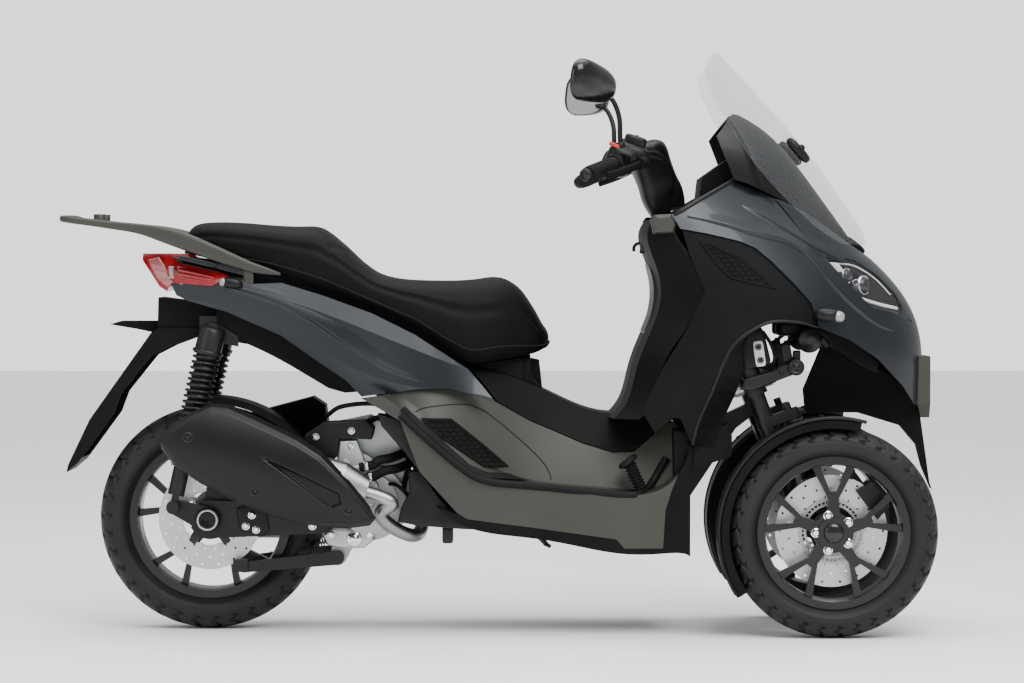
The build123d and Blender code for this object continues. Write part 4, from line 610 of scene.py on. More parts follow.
cover = piece("seat_cover", seat_shape(), VINYL, "seat", stands_for=["seat"])
both("seat_piping", tube(seat_line(0.30, -0.0004), 0.0016, 6), RUBBER, "seat")
both("seat_stitch", tube(seat_line(0.34, 0.0003), 0.0007, 5), RUBBER, "seat")
both("seat_hem", tube(seat_line(0.012, 0.0), 0.003, 6), RUBBER, "seat")
both("seat_pan", tube(seat_line(0.004, -0.006, 0.02, 0.98) - np.array([0, 0, 0.0015]), 0.004, 6), RUBBER, "seat")

# Silencer shield with its step, rounded edge and air slot
UPPER = [(-0.772, 0.448), (-0.762, 0.470), (-0.737, 0.492), (-0.702, 0.516), (-0.655, 0.537), (-0.614, 0.533),
         (-0.545, 0.503), (-0.453, 0.459), (-0.400, 0.424), (-0.340, 0.362), (-0.295, 0.306), (-0.278, 0.272)]
LOWER = [(-0.772, 0.448), (-0.768, 0.430), (-0.741, 0.396), (-0.684, 0.355), (-0.597, 0.307), (-0.510, 0.273),
         (-0.422, 0.255), (-0.335, 0.250), (-0.292, 0.256), (-0.278, 0.272)]
AIR_SLOT_START, AIR_SLOT_END = np.array([-0.540, 0.416]), np.array([-0.360, 0.308])
SILENCER_POINT, SILENCER_ACROSS = (-0.300, 0.330), (0.2628, 0.9649)


def shield_face(x, z):
    """Outward distance of the shield: a shallow arc across the silencer's axis."""
    s = (x - SILENCER_POINT[0]) * SILENCER_ACROSS[0] + (z - SILENCER_POINT[1]) * SILENCER_ACROSS[1]
    return -0.212 - (0.041 - 0.032 * (s / 0.12) ** 2)


def shield_shape(nu=190, nv=66):
    """Shield between its upper and lower edge: an outer sheet with a raised middle, an edge that turns in, and a
    slot sunk along a line; an inner sheet 3 mm behind closes it."""
    x, z, edge = between(LOWER, UPPER, nu, nv)
    t = np.linspace(0, 1, nu)[:, None]
    edge = np.minimum(edge, 0.54 * t * (1 - t))
    out = 0.004 * step(0.014, 0.020, edge) - 0.012 * (1 - step(0.0, 0.012, edge))
    length = np.linalg.norm(AIR_SLOT_END - AIR_SLOT_START)
    way = (AIR_SLOT_END - AIR_SLOT_START) / length
    dx, dz = x - AIR_SLOT_START[0], z - AIR_SLOT_START[1]
    q = (dx * way[0] + dz * way[1]) / length
    off = dz * way[0] - dx * way[1]
    wide = (0.002 + 0.019 * np.clip(q, 0, 1)) * step(1.04, 0.92, q)
    out = out - 0.011 * step(0, 0.004, wide - np.abs(off)) * step(-0.02, 0.05, q)
    outer = np.stack([x, shield_face(x, z) - out, z], -1)
    return grid(np.concatenate([outer, (outer + np.array([0, 0.003, 0]))[:, ::-1]], 1), close_v=True)


piece("silencer_guard", shield_shape(), SATIN, stands_for=["silencer_shield"])
for k, (x, z) in enumerate([(-0.7065, 0.459), (-0.5537, 0.336), (-0.3395, 0.2925)]):
    place = np.array([x, shield_face(x, z) - 0.0045, z])
    cup = lathe([(0.0075, -0.002), (0.0085, 0.0012), (0.011, 0.0014), (0.0125, -0.001)], place, OUT, 30)
    piece(f"guard_bolt_{k}", join(cup, bolt(place - np.array([0, -0.001, 0]), OUT, 0.0052, 0.003)), STEEL)

# Grab rail: a flattened bar round the tail, by stations of x, y, z, half width and half height, with a carrier plate
RAIL = [(-0.500, -0.167, 0.832, 0.003, 0.003), (-0.530, -0.166, 0.839, 0.006, 0.008),
        (-0.572, -0.164, 0.850, 0.010, 0.013), (-0.640, -0.160, 0.876, 0.013, 0.018),
        (-0.715, -0.151, 0.905, 0.015, 0.021), (-0.775, -0.141, 0.924, 0.016, 0.018),
        (-0.830, -0.129, 0.937, 0.017, 0.012), (-0.900, -0.113, 0.946, 0.018, 0.009),
        (-0.970, -0.098, 0.955, 0.018, 0.008), (-1.000, -0.080, 0.960, 0.018, 0.008),
        (-1.003, -0.040, 0.9615, 0.018, 0.008)]


def rail_shape(n=150, sides=28):
    """Rounded rectangle of changing width and height carried round a level path from one foot to the other."""
    half = np.array(RAIL)
    line = np.vstack([half, half[::-1] * np.array([1, -1, 1, 1, 1])])
    place = smooth_path(line[:, :3], n)
    wide, tall = smooth_path(line[:, 3:], n).T
    across = unit(np.cross(np.gradient(place, axis=0), (0, 0, 1.0)))
    c, s = rounded(circle(sides), 0.55)
    ring = across[:, None] * (wide[:, None] * c)[..., None] + np.array([0, 0, 1.0]) * (tall[:, None] * s)[..., None]
    ends = [np.repeat(place[k, None, None], sides, 1) for k in (0, -1)]
    return grid(np.concatenate([ends[0], place[:, None] + ring, ends[1]]), close_v=True)


plate = pillow((-0.938, 0, 0.9515), (0.066, 0.106, 0.0085), 9, turn_y(6.6), 22, 60)
pads = [lathe([(0.0042, -0.022), (0.0042, 0), (0.0125, 0), (0.014, -0.0015), (0.014, -0.022)],
              (-0.930, y, 0.972), (0, 0, 1), 36) for y in (-0.050, 0.050)]
feet = [pillow((-0.574, y, 0.824), (0.012, 0.008, 0.028), 6) for y in (-0.160, 0.160)]
piece("rail_bar", join(rail_shape(), plate, *pads, *feet), OLIVE, stands_for=["grab_rail"])


# Blocks with a rounded edge, cut to side-view outlines

def slab(outline, back, front, edge=0.004, n=0):
    """Plate on the right: an outline carried from y = back to y = front, drawn in over a rounded edge and closed
    by rings that shrink to its middle."""
    line = np.asarray(outline, float)
    line = along(np.vstack([line, line[:1]]), (n or 12 * len(line)) + 1)[:-1]
    middle = line.mean(0)
    reach = np.linalg.norm(line - middle, axis=1, keepdims=True)
    a = np.linspace(0, pi / 2, 5)
    insets = np.concatenate([[0], edge * (1 - np.cos(a)), [0.5, 1.0]])
    depths = np.concatenate([[back], front + np.sign(back - front) * edge * (1 - np.sin(a)), [front, front]])
    rings = []
    for k, (inset, y) in enumerate(zip(insets, depths)):
        share = np.clip(inset / reach, 0, 1) if k <= len(a) else inset
        p = line + (middle - line) * share
        rings.append(np.stack([p[:, 0], np.full(len(p), y), p[:, 1]], -1))
    return grid(np.array(rings), close_v=True)


def bolts(places, axis, radius, height):
    """One shape of equal bolt heads at several places."""
    return join(*[bolt(p, axis, radius, height) for p in places])


# Engine's right side: covers, crankcase foot, coolant stubs with hoses and clamps, looms
CYLINDER_Y, PUMP_Y, FOOT_Y = -0.150, -0.146, -0.131
piece("cylinder_cover", slab([(-0.446, 0.459), (-0.399, 0.491), (-0.306, 0.4955), (-0.283, 0.477), (-0.291, 0.449),
                              (-0.332, 0.452), (-0.367, 0.446), (-0.370, 0.410), (-0.381, 0.400), (-0.450, 0.438)],
                             -0.100, CYLINDER_Y, 0.006), SATIN)
piece("pump_cover", slab([(-0.365, 0.447), (-0.326, 0.449), (-0.312, 0.418), (-0.2956, 0.3716), (-0.275, 0.3455),
                          (-0.2725, 0.310), (-0.291, 0.2925), (-0.312, 0.310), (-0.347, 0.366), (-0.372, 0.403)],
                         -0.120, PUMP_Y, 0.007), ALLOY)
piece("crankcase_foot", slab([(-0.404, 0.226), (-0.380, 0.244), (-0.300, 0.242), (-0.283, 0.216), (-0.310, 0.196),
                              (-0.360, 0.196), (-0.395, 0.203)], -0.100, FOOT_Y, 0.008), ALLOY)
boss = lathe([(0, 0.010), (0.009, 0.010), (0.010, 0.006), (0.015, 0.006), (0.018, 0.003), (0.018, -0.004)],
             (-0.3316, FOOT_Y, 0.218), OUT, 36)
piece("drain_boss", boss, CHROME)
heads = bolts([(-0.386, FOOT_Y, 0.228), (-0.296, FOOT_Y, 0.228), (-0.340, PUMP_Y, 0.436), (-0.289, PUMP_Y, 0.322),
               (-0.305, PUMP_Y, 0.386), (-0.352, PUMP_Y, 0.398), (-0.3375, CYLINDER_Y, 0.470),
               (-0.420, CYLINDER_Y, 0.456)], OUT, 0.0055, 0.005)
piece("engine_bolts", heads, CHROME, flat=True)
COOLANT = [((-0.3676, -0.150, 0.374), (-0.3085, -0.160, 0.387), (-0.240, -0.150, 0.409)),
           ((-0.3418, -0.150, 0.348), (-0.298, -0.160, 0.3617), (-0.222, -0.150, 0.386))]
for k, (a, b, c) in enumerate(np.array(COOLANT)):
    way = b - a
    stub = smooth_path([a, (a + b) / 2 + (0, -0.003, 0), b, b + way * 0.2], 24)
    piece(f"coolant_stub_{k}", tube(stub, 0.0085, 16), ALLOY)
    hose = smooth_path([b - way * 0.15, b + way * 0.4, (b + c) / 2 + (0, -0.012, 0.004), c,
                        c + (0.05, 0.05, 0.02)], 60)
    piece(f"coolant_hose_{k}", tube(hose, 0.0108, 16), RUBBER)
    place = b + way * 0.12
    band = lathe([(0.0108, -0.005), (0.0121, -0.005), (0.0121, 0.005), (0.0108, 0.005)], place, way, 28)
    screw = bolt(place + np.array([0, -0.012, 0.004]), (0.3, -0.4, 1), 0.0035, 0.006)
    piece(f"hose_clamp_{k}", join(band, screw), CHROME)
ENGINE_LOOMS = [
    [(-0.30, -0.10, 0.49), (-0.26, -0.14, 0.50), (-0.22, -0.15, 0.46), (-0.205, -0.13, 0.40), (-0.22, -0.10, 0.33)],
    [(-0.40, -0.09, 0.50), (-0.36, -0.12, 0.525), (-0.28, -0.12, 0.53), (-0.22, -0.11, 0.50), (-0.19, -0.09, 0.44)],
    [(-0.27, -0.10, 0.34), (-0.235, -0.150, 0.345), (-0.205, -0.155, 0.315), (-0.20, -0.12, 0.27)]]
for k, line in enumerate(ENGINE_LOOMS):
    piece(f"engine_loom_{k}", tube(smooth_path(line, 60), 0.0065 - 0.001 * k, 12), RUBBER)

# Rear hub: axle cover with its ring, sensor pocket, carrier bolts
POCKET_Y, CARRIER_Y = -0.118, -0.1135
hub = REAR_AXLE + np.array([0, -0.132, 0])
piece("axle_cover", lathe([(0, 0.006), (0.012, 0.006), (0.014, 0.009), (0.019, 0.010), (0.0205, 0.0085),
                           (0.0262, 0.0085), (0.0286, 0.005), (0.0294, -0.001)], hub, OUT, 56),
      SATIN)
piece("axle_ring", lathe([(0.0192, 0.0085), (0.0202, 0.0115), (0.0222, 0.013), (0.0242, 0.0115), (0.0252, 0.0085)],
                         hub, OUT, 56), ALLOY)
piece("carrier_pocket", slab([(-0.607, 0.288), (-0.590, 0.296), (-0.536, 0.286), (-0.528, 0.236), (-0.545, 0.224),
                              (-0.600, 0.236)], -0.108, POCKET_Y, 0.005), SATIN)
heads = bolts([(-0.5706, POCKET_Y, 0.272), (-0.5845, POCKET_Y, 0.2465), (-0.5606, POCKET_Y, 0.238),
               (-0.7116, CARRIER_Y, 0.300), (-0.7180, CARRIER_Y, 0.252), (-0.430, -0.114, 0.246)],
              OUT, 0.0062, 0.006)
piece("carrier_bolts", heads, CHROME, flat=True)

# Front suspension: sensor plates, lock boxes, arms with their round ends and blocks
PLATE_Y, ARM_Y = -0.182, -0.186
both("sensor_plate", pillow((0.604, -0.178, 0.649), (0.012, 0.004, 0.030), 6, turn_y(-8)), WHITE)
both("sensor_bolts", bolts([(0.6015, PLATE_Y, 0.664), (0.6065, PLATE_Y, 0.634)], OUT, 0.0055, 0.004), STEEL,
     flat=True)
both("lock_box", pillow((0.590, -0.158, 0.660), (0.034, 0.018, 0.046), 7, turn_y(-14)), SATIN)
arm = slab([(0.560, 0.566), (0.566, 0.590), (0.640, 0.612), (0.684, 0.632), (0.700, 0.620), (0.698, 0.606),
            (0.640, 0.584), (0.585, 0.562)], -0.150, ARM_Y, 0.006)
end = lathe([(0, 0.013), (0.007, 0.013), (0.008, 0.011), (0.0125, 0.011), (0.0135, 0.013), (0.0175, 0.012),
             (0.0195, 0.009), (0.0195, -0.03)], (0.688, -0.180, 0.618), OUT, 40)
both("tilt_arm", join(arm, end, bolt((0.655, ARM_Y, 0.605), OUT, 0.004, 0.003)), STEEL)
both("arm_block", join(pillow((0.668, -0.150, 0.650), (0.012, 0.016, 0.024), 6, turn_y(-10)),
                       pillow((0.692, -0.150, 0.640), (0.009, 0.014, 0.016), 6),
                       bolt((0.668, -0.150, 0.673), (0, 0, 1), 0.006, 0.006)), STEEL)

# Wheel arch: ribbed liner and lip along the shield's edge
ARCH = [(0.446, 0.440), (0.462, 0.500), (0.490, 0.565), (0.515, 0.630), (0.538, 0.672), (0.578, 0.703),
        (0.628, 0.724), (0.690, 0.722), (0.734, 0.712)]
arch_skin = skin(["lower_shields"], (0.44, 0.44), (0.74, 0.80), 5, 40)


def arch_liner(n=240, nv=26):
    """Inner wall of the wheel arch: from the shield's edge forwards and inwards, wider low down, with ribs across."""
    line = sunk(side_path(ARCH, n), arch_skin, 0.001)
    t, v = np.linspace(0, 1, n)[:, None], np.linspace(0, 1, nv)[None]
    wide = 0.006 + 0.050 * step(0.62, 0.30, t)
    rib = 0.004 * np.exp(-((t * 17 % 1 - 0.5) / 0.20) ** 2)
    rib = rib * step(0.60, 0.5, t) * step(0.15, 0.3, v) * step(1.0, 0.9, v)
    x = line[:, :1] + wide * v - 0.3 * rib
    y = line[:, 1:2] + (0.020 + 0.9 * wide) * v ** 1.2 - rib
    return grid(np.stack([x, y, line[:, 2:] - 0.2 * wide * v], -1))


both("arch_liner", arch_liner(), BLACK)
both("arch_lip", tube(sunk(side_path(ARCH, 120), arch_skin, 0.001), 0.0042, 10), SATIN)

# Handlebar: ribbed grips, end weights, switch pods, reservoirs and cables on both sides, switches on the right
BAR_END, BAR_INNER = np.array([0.208, -0.365, 1.059]), np.array([0.281, -0.235, 1.089])
reach = unit(BAR_END - BAR_INNER)
t = np.linspace(0, 1, 150)
ribs = np.sign(np.sin(2 * pi * 20 * t)) * step(0.12, 0.16, t) * step(0.95, 0.92, t)
grip = BAR_INNER + reach * (0.035 + 0.118 * t)[:, None]
both("grip", tube(grip, 0.0176 + 0.0007 * ribs, 28), RUBBER, "handlebar")
both("bar_end", lathe([(0, 0.014), (0.004, 0.014), (0.005, 0.012), (0.012, 0.012), (0.0145, 0.009), (0.0145, -0.002),
                       (0.012, -0.004)], BAR_END + reach * 0.012, reach, 32), STEEL, "handlebar")
both("switch_pod", join(pillow(BAR_INNER + (0.004, 0.022, 0.008), (0.036, 0.034, 0.029), 3.4, turn_y(24)),
                        pillow(BAR_INNER + (0.030, 0.066, 0.020), (0.040, 0.046, 0.024), 3.2, turn_y(20))),
     SATIN, "handlebar")
both("pod_seam", lathe([(0.0195, -0.004), (0.0215, -0.003), (0.0215, 0.003), (0.0195, 0.004)],
                       BAR_INNER + reach * 0.028, reach, 36), RUBBER, "handlebar")
screws = bolts([(0.322, -0.187, 1.150), (0.322, -0.143, 1.150)], (0.3, 0, 1), 0.003, 0.002)
lid = pillow((0.318, -0.165, 1.138), (0.026, 0.036, 0.013), 5, turn_y(18))
both("reservoir", join(lid, screws), SATIN, "handlebar")
for k, lift in enumerate((0.0, 0.012)):
    cable = smooth_path([(0.318, -0.200 + 0.02 * k, 1.100 + lift), (0.372, -0.170, 1.098 + lift),
                         (0.405, -0.110, 1.070), (0.410, -0.062, 1.020 + lift)], 50)
    both(f"bar_cable_{{}}_{k}", tube(cable, 0.0032, 10), RUBBER, "handlebar")
piece("kill_switch", pillow((0.268, -0.238, 1.127), (0.013, 0.007, 0.005), 4, turn_y(24)), SWITCH, "handlebar")
piece("start_button", pillow((0.262, -0.252, 1.100), (0.006, 0.006, 0.006), 3), STEEL, "handlebar")

# Headlamps: daytime strips, projectors with their rims and a white corner behind the lens
STRIPS = [[(0.790, 0.802), (0.830, 0.779), (0.880, 0.763), (0.928, 0.752)],
          [(0.772, 0.858), (0.826, 0.851), (0.876, 0.822), (0.914, 0.784)]]
BEAM = (0.78, -0.62, 0.05)
for k, line in enumerate(STRIPS):
    both(f"day_strip_{k}", tube(sunk(side_path(line, 50), fairing, 0.013), 0.0042 - 0.0026 * k, 10), WHITE)
for k, (x, z, r) in enumerate([(0.850, 0.806, 0.020), (0.808, 0.828, 0.016)]):
    place = (x, float(fairing(x, z)) + 0.034, z)
    eye = lathe([(0, 0.012), (r * 0.5, 0.0105), (r * 0.85, 0.006), (r, 0)], place, BEAM, 40)
    both(f"projector_{k}", eye, GLOSS)
    rim = lathe([(r, 0), (r * 1.06, 0.002), (r * 1.14, 0.001), (r * 1.18, -0.004), (r * 1.18, -0.02)],
                place, BEAM, 40)
    both(f"projector_rim_{k}", rim, CHROME)
y = float(fairing(0.776, 0.848))
both("lamp_corner", slab([(0.756, 0.861), (0.786, 0.857), (0.800, 0.838), (0.780, 0.836)],
                         y + 0.018, y + 0.012, 0.002), WHITE)

# Trim at the top of the shields
both("shield_trim", slab([(0.350, 0.958), (0.358, 0.968), (0.398, 0.970), (0.408, 0.946), (0.402, 0.926),
                          (0.356, 0.924)], -0.225, -0.268, 0.010), OLIVE)


# Mirrors, turned towards the rider

def mirror_parts(n=64):
    """Right mirror: an outline drawn from signed roots of sine and cosine, taller at its outer end, carried back
    over a dome; the glass fills the outline just inside the rim."""
    centre, facing = np.array([0.213, -0.330, 1.264]), unit(np.array([-0.80, 0.55, 0.12]))
    out = unit(np.cross((0, 0, 1.0), facing))
    tall = np.cross(facing, out)
    c, s = rounded(circle(n), 0.72)
    outline = (0.084 * c)[:, None] * out + (0.047 * s * (1 + 0.22 * c) + 0.010 * c)[:, None] * tall
    u = np.linspace(0, pi / 2, 12)[:, None, None]
    dome = centre + np.cos(u) ** 0.6 * outline[None] - facing * 0.034 * np.sin(u)
    rim = centre + facing * 0.004 + 0.97 * outline[None]
    inside = centre + facing * 0.0005 + 0.94 * outline[None]
    r = np.linspace(0, 1, 8)[:, None, None]
    glass = centre + facing * (0.0015 - 0.0008 * r ** 2) + 0.95 * r * outline[None]
    return grid(np.concatenate([inside, rim, dome]), close_v=True), grid(glass, close_v=True)


head, glass = mirror_parts()
piece("mirror_heads", join(head, mirrored(head)), GLOSS, "handlebar", stands_for=["mirrors"])
both("mirror_glass", glass, MIRROR, "handlebar")
stem = tube(smooth_path([(0.283, -0.232, 1.100), (0.281, -0.236, 1.145), (0.279, -0.243, 1.188),
                         (0.267, -0.260, 1.222), (0.246, -0.282, 1.246)], 50), 0.0058, 14)
nut = lathe([(0.006, 0.016), (0.010, 0.015), (0.010, 0), (0.006, 0)], (0.2825, -0.234, 1.118), (0, 0, 1), 6)
knuckle = pillow((0.248, -0.281, 1.246), (0.013, 0.012, 0.015), 3)
both("mirror_stem", join(stem, nut, knuckle), SATIN, "handlebar")

# Handlebar neck, by stations of x, z, half length and half width
NECK = [(0.402, 0.978, 0.001, 0.001), (0.402, 0.978, 0.034, 0.034), (0.399, 0.985, 0.044, 0.044),
        (0.387, 1.018, 0.050, 0.058), (0.374, 1.052, 0.047, 0.066), (0.361, 1.085, 0.048, 0.082),
        (0.351, 1.110, 0.050, 0.100), (0.346, 1.127, 0.044, 0.104), (0.343, 1.138, 0.028, 0.080),
        (0.342, 1.1415, 0.010, 0.040), (0.342, 1.142, 0.001, 0.004)]


def neck_shape(n=70, sides=48):
    """Cover of the steering head: rounded rectangles across the raked stem, their middles and sizes off stations."""
    x, z, long, wide = smooth_path(NECK, n).T[:, :, None, None]
    c, s = rounded(circle(sides)[None, :, None], 0.66)
    middle = x * np.array([1.0, 0, 0]) + z * np.array([0, 0, 1.0])
    return grid(middle + long * c * AHEAD + wide * s * np.array([0, 1.0, 0]), close_v=True)


piece("neck_cover", neck_shape(), SATIN, "handlebar", stands_for=["handlebar_cover"])

# Indicators: black pods with clear tips
pods = join(pillow((0.754, -0.256, 0.7385), (0.031, 0.028, 0.0165), 2.6, turn_y(6)),
            pillow((-0.612, -0.174, 0.811), (0.026, 0.018, 0.0125), 2.6, turn_y(8)))
piece("indicator_pods", join(pods, mirrored(pods)), SATIN, stands_for=["indicators"])
tips = join(pillow((0.777, -0.257, 0.736), (0.0165, 0.0255, 0.0135), 2.4, turn_y(6)),
            pillow((-0.631, -0.174, 0.8135), (0.010, 0.0165, 0.0105), 2.4))
both("indicator_tips", tips, AMBER)


# Tail lamp: clear outer band, pale ribbed bar, red field, dark mask and the grey lid above

def patch(lower, upper, face, lift, nu=60, nv=24, ribs=0):
    """Sheet between two side-view curves laid at a height on a skin, its edges falling to the skin; ribs along it."""
    x, z, edge = between(lower, upper, nu, nv)
    v, u = np.linspace(0, 1, nv)[None], np.linspace(0, 1, nu)[:, None]
    edge = np.clip(np.minimum(edge, np.minimum(u, 1 - u) * 0.2) / 0.003, 0, 1)
    rise = lift * np.sqrt(edge) - 0.001 + 0.0009 * np.sin(2 * pi * ribs * v)
    return grid(np.stack([x, face(x, z) - rise, z], -1))


lamp = skin(["tail_lamp"], (-0.826, 0.790), (-0.62, 0.882), 4, 40)
both("lamp_clear", patch([(-0.764, 0.800), (-0.789, 0.822), (-0.804, 0.846), (-0.812, 0.866)],
                         [(-0.752, 0.812), (-0.764, 0.833), (-0.772, 0.851), (-0.786, 0.872)], lamp, 0.003), CLEAR)
both("lamp_bar", patch([(-0.758, 0.822), (-0.763, 0.850)], [(-0.747, 0.821), (-0.750, 0.850)],
                       lamp, 0.004, 24, 12, 2), AMBER)
both("lamp_field", patch([(-0.738, 0.822), (-0.690, 0.815), (-0.650, 0.812)],
                         [(-0.742, 0.851), (-0.700, 0.842), (-0.652, 0.828)], lamp, 0.0035, 70, 30, 3), RED)
both("lamp_mask", patch([(-0.735, 0.8555), (-0.690, 0.8465), (-0.640, 0.834)],
                        [(-0.760, 0.874), (-0.712, 0.864), (-0.640, 0.841)], lamp, 0.003, 60, 14), SMOKE)
both("tail_lid", slab([(-0.742, 0.868), (-0.730, 0.8745), (-0.640, 0.8575), (-0.563, 0.840), (-0.560, 0.829),
                       (-0.570, 0.824), (-0.650, 0.845)], -0.120, -0.1655, 0.006), GREY)

# Screen clips
clip = join(pillow((0.697, -0.120, 1.119), (0.011, 0.016, 0.036), 3.2, turn_y(-42)),
            lathe([(0, 0.006), (0.006, 0.006), (0.008, 0.003), (0.008, 0)],
                  (0.704, -0.132, 1.124), (0.7, -0.6, 0.4), 20))
piece("screen_clips", join(clip, mirrored(clip)), SATIN, stands_for=["screen_mounts"])

# Black border along the fairing's top edge, crease of the nose
border = side_path([(0.404, 0.9665), (0.440, 0.988), (0.490, 1.017), (0.548, 1.0495)], 60)
both("fairing_border", tube(sunk(border, fairing, 0.002), 0.0055, 12), SATIN)
both("nose_crease", ridge([(0.560, 0.992), (0.620, 0.962), (0.680, 0.925), (0.735, 0.893), (0.800, 0.862)],
                          fairing, 0.026, 0.010, 0.006), GREY)

# Running strip along the skirts, frame covers behind them, lugs under the floor
STRIP = [(-0.221, 0.511), (-0.160, 0.455), (-0.085, 0.392), (-0.026, 0.360), (0.090, 0.3465), (0.220, 0.3345),
         (0.300, 0.3275), (0.332, 0.331), (0.356, 0.352), (0.390, 0.408)]
both("running_strip", tube(lay(side_path(STRIP, 160), ["floor_strips", "floorboards"], 0.0045), 0.0088, 16), RUBBER)
both("frame_cover_upper", slab([(-0.274, 0.512), (-0.229, 0.505), (-0.180, 0.452), (-0.138, 0.405), (-0.181, 0.382),
                                (-0.222, 0.434), (-0.266, 0.484)], -0.150, -0.222, 0.008), SATIN)
both("frame_cover_lower", slab([(-0.205, 0.378), (-0.181, 0.384), (-0.142, 0.325), (-0.100, 0.276), (-0.053, 0.262),
                                (0.085, 0.250), (0.081, 0.240), (-0.080, 0.246), (-0.184, 0.254), (-0.229, 0.263),
                                (-0.221, 0.296), (-0.201, 0.333)], -0.150, -0.214, 0.008), SATIN)
lug = pillow((-0.115, -0.130, 0.228), (0.013, 0.018, 0.020), 6)
arm = tube(smooth_path([(0.078, -0.150, 0.250), (0.096, -0.150, 0.226), (0.114, -0.150, 0.206)], 20), 0.006, 12)
foot = lathe([(0, 0.004), (0.009, 0.004), (0.009, -0.004), (0, -0.004)], (0.116, -0.150, 0.205), (0.5, 0, 1), 16)
piece("floor_lugs", join(lug, arm, foot), STEEL)

# Foot brake: bellows under a round pad
foot, top = np.array([0.330, -0.216, 0.340]), np.array([0.303, -0.216, 0.398])
t = np.linspace(0, 1, 90)
bellows = tube(foot + (top - foot) * t[:, None], 0.0135 + 0.0022 * np.sin(2 * pi * 8 * t), 28)
pad = lathe([(0, 0.006), (0.021, 0.006), (0.0245, 0.003), (0.0245, -0.003), (0.021, -0.006), (0, -0.006)],
            top + (-0.003, 0, 0.004), (-0.60, 0, 0.80), 40)
piece("brake_pedal", join(bellows, pad), RUBBER)

# Inside the wheel arches: control boxes, horns and looms; lips and bolts of the mudguards
both("arch_box", join(pillow((0.742, -0.092, 0.694), (0.040, 0.040, 0.024), 5, turn_y(28)),
                      pillow((0.690, -0.060, 0.705), (0.040, 0.030, 0.018), 5)), SATIN)
both("horn", lathe([(0, 0.010), (0.010, 0.012), (0.014, 0.009), (0.026, 0.007), (0.031, 0.003), (0.031, -0.006),
                    (0.022, -0.014)], (0.724, -0.134, 0.680), (0.25, -1, -0.25), 40), STEEL)
ARCH_LOOMS = [[(0.612, -0.172, 0.700), (0.630, -0.176, 0.672), (0.640, -0.172, 0.640), (0.630, -0.160, 0.610)],
              [(0.575, -0.178, 0.695), (0.560, -0.188, 0.650), (0.556, -0.186, 0.610), (0.572, -0.178, 0.580)],
              [(0.690, -0.130, 0.690), (0.672, -0.150, 0.676), (0.668, -0.158, 0.655)]]
for k, line in enumerate(ARCH_LOOMS):
    both(f"arch_loom_{{}}_{k}", tube(smooth_path(line, 40), 0.0045, 10), RUBBER)
LIP_RADIUS, LIP_Y, STUD_RADIUS, STUD_Y = 0.2635, -0.2905, 0.2665, -0.268
a = np.radians(np.linspace(74, 212, 120))
lip = FRONT_AXLE + np.stack([LIP_RADIUS * np.cos(a), np.full(120, LIP_Y), LIP_RADIUS * np.sin(a)], -1)
both("guard_lip", tube(lip, 0.0042, 10), SATIN, "knuckle_{}")
studs = [bolt(FRONT_AXLE + np.array([STUD_RADIUS * cos(b), STUD_Y, STUD_RADIUS * sin(b)]), (cos(b), 0, sin(b)),
              0.005, 0.004) for b in np.radians([96, 106, 124, 134])]
both("guard_bolts", join(*studs), STEEL, "knuckle_{}", flat=True)

# Springs of the stand
springs = [coil((-0.459, y, 0.186), (-0.400, y, 0.196), 0.0075, 0.0016, 10) for y in (-0.124, 0.124)]
piece("stand_spring", join(*springs), STEEL, "centre_stand")

# Under the seat's nose: seal, hinge cover and apron; foot of the shields, liner of the nose
seal = tube(smooth_path([(-0.055, -0.078, 0.6195), (0.0, -0.079, 0.6265), (0.055, -0.078, 0.6335)], 30), 0.0035, 10)
both("seat_seal", seal, RUBBER)
both("hinge_cover", slab([(0.050, 0.637), (0.077, 0.642), (0.081, 0.606), (0.090, 0.584), (0.104, 0.562),
                          (0.050, 0.572)], -0.020, -0.074, 0.008), BLACK)
both("shield_foot", slab([(0.404, 0.372), (0.404, 0.475), (0.452, 0.475), (0.458, 0.440), (0.444, 0.372)],
                         -0.150, -0.226, 0.006), BLACK)
both("seat_apron", slab([(-0.115, 0.600), (-0.115, 0.648), (-0.075, 0.629), (-0.058, 0.622), (-0.040, 0.622),
                         (-0.040, 0.600), (0.020, 0.585), (0.020, 0.530), (-0.060, 0.530)],
                        -0.040, -0.066, 0.003), BLACK)
both("nose_liner", slab([(0.735, 0.706), (0.790, 0.712), (0.838, 0.672), (0.884, 0.628), (0.880, 0.602),
                         (0.836, 0.620), (0.780, 0.658)], -0.100, -0.150, 0.006), BLACK)

# Seams: across the skirt, and between side fairing and nose
SKIRT_SEAM = [(-0.189, 0.516), (-0.158, 0.527), (-0.079, 0.533), (-0.035, 0.519), (0.0, 0.494), (0.061, 0.442),
              (0.105, 0.398), (0.121, 0.371), (0.1245, 0.357)]
both("skirt_seam", tube(lay(side_path(SKIRT_SEAM, 140), ["floorboards"], 0.0003, 60), 0.0011, 8), RUBBER)
NOSE_SEAM = [(0.556, 1.036), (0.600, 1.022), (0.639, 1.006), (0.672, 0.968), (0.711, 0.915), (0.725, 0.887),
             (0.752, 0.868)]
seam = lay(side_path(NOSE_SEAM, 120), ["side_fairings", "nose_panel"], 0.0002, 40)
both("fairing_seam", tube(seam, 0.0013, 8), RUBBER)

# Left side of the drive: belt cover with its bosses, bolts and ribs, lid of the air box
CRANK, AXLE_END = np.array([-0.300, 0.300]), REAR_AXLE[[0, 2]]
CASE_Y, COVER_Y, LID_Y = -0.185, -0.200, -0.191


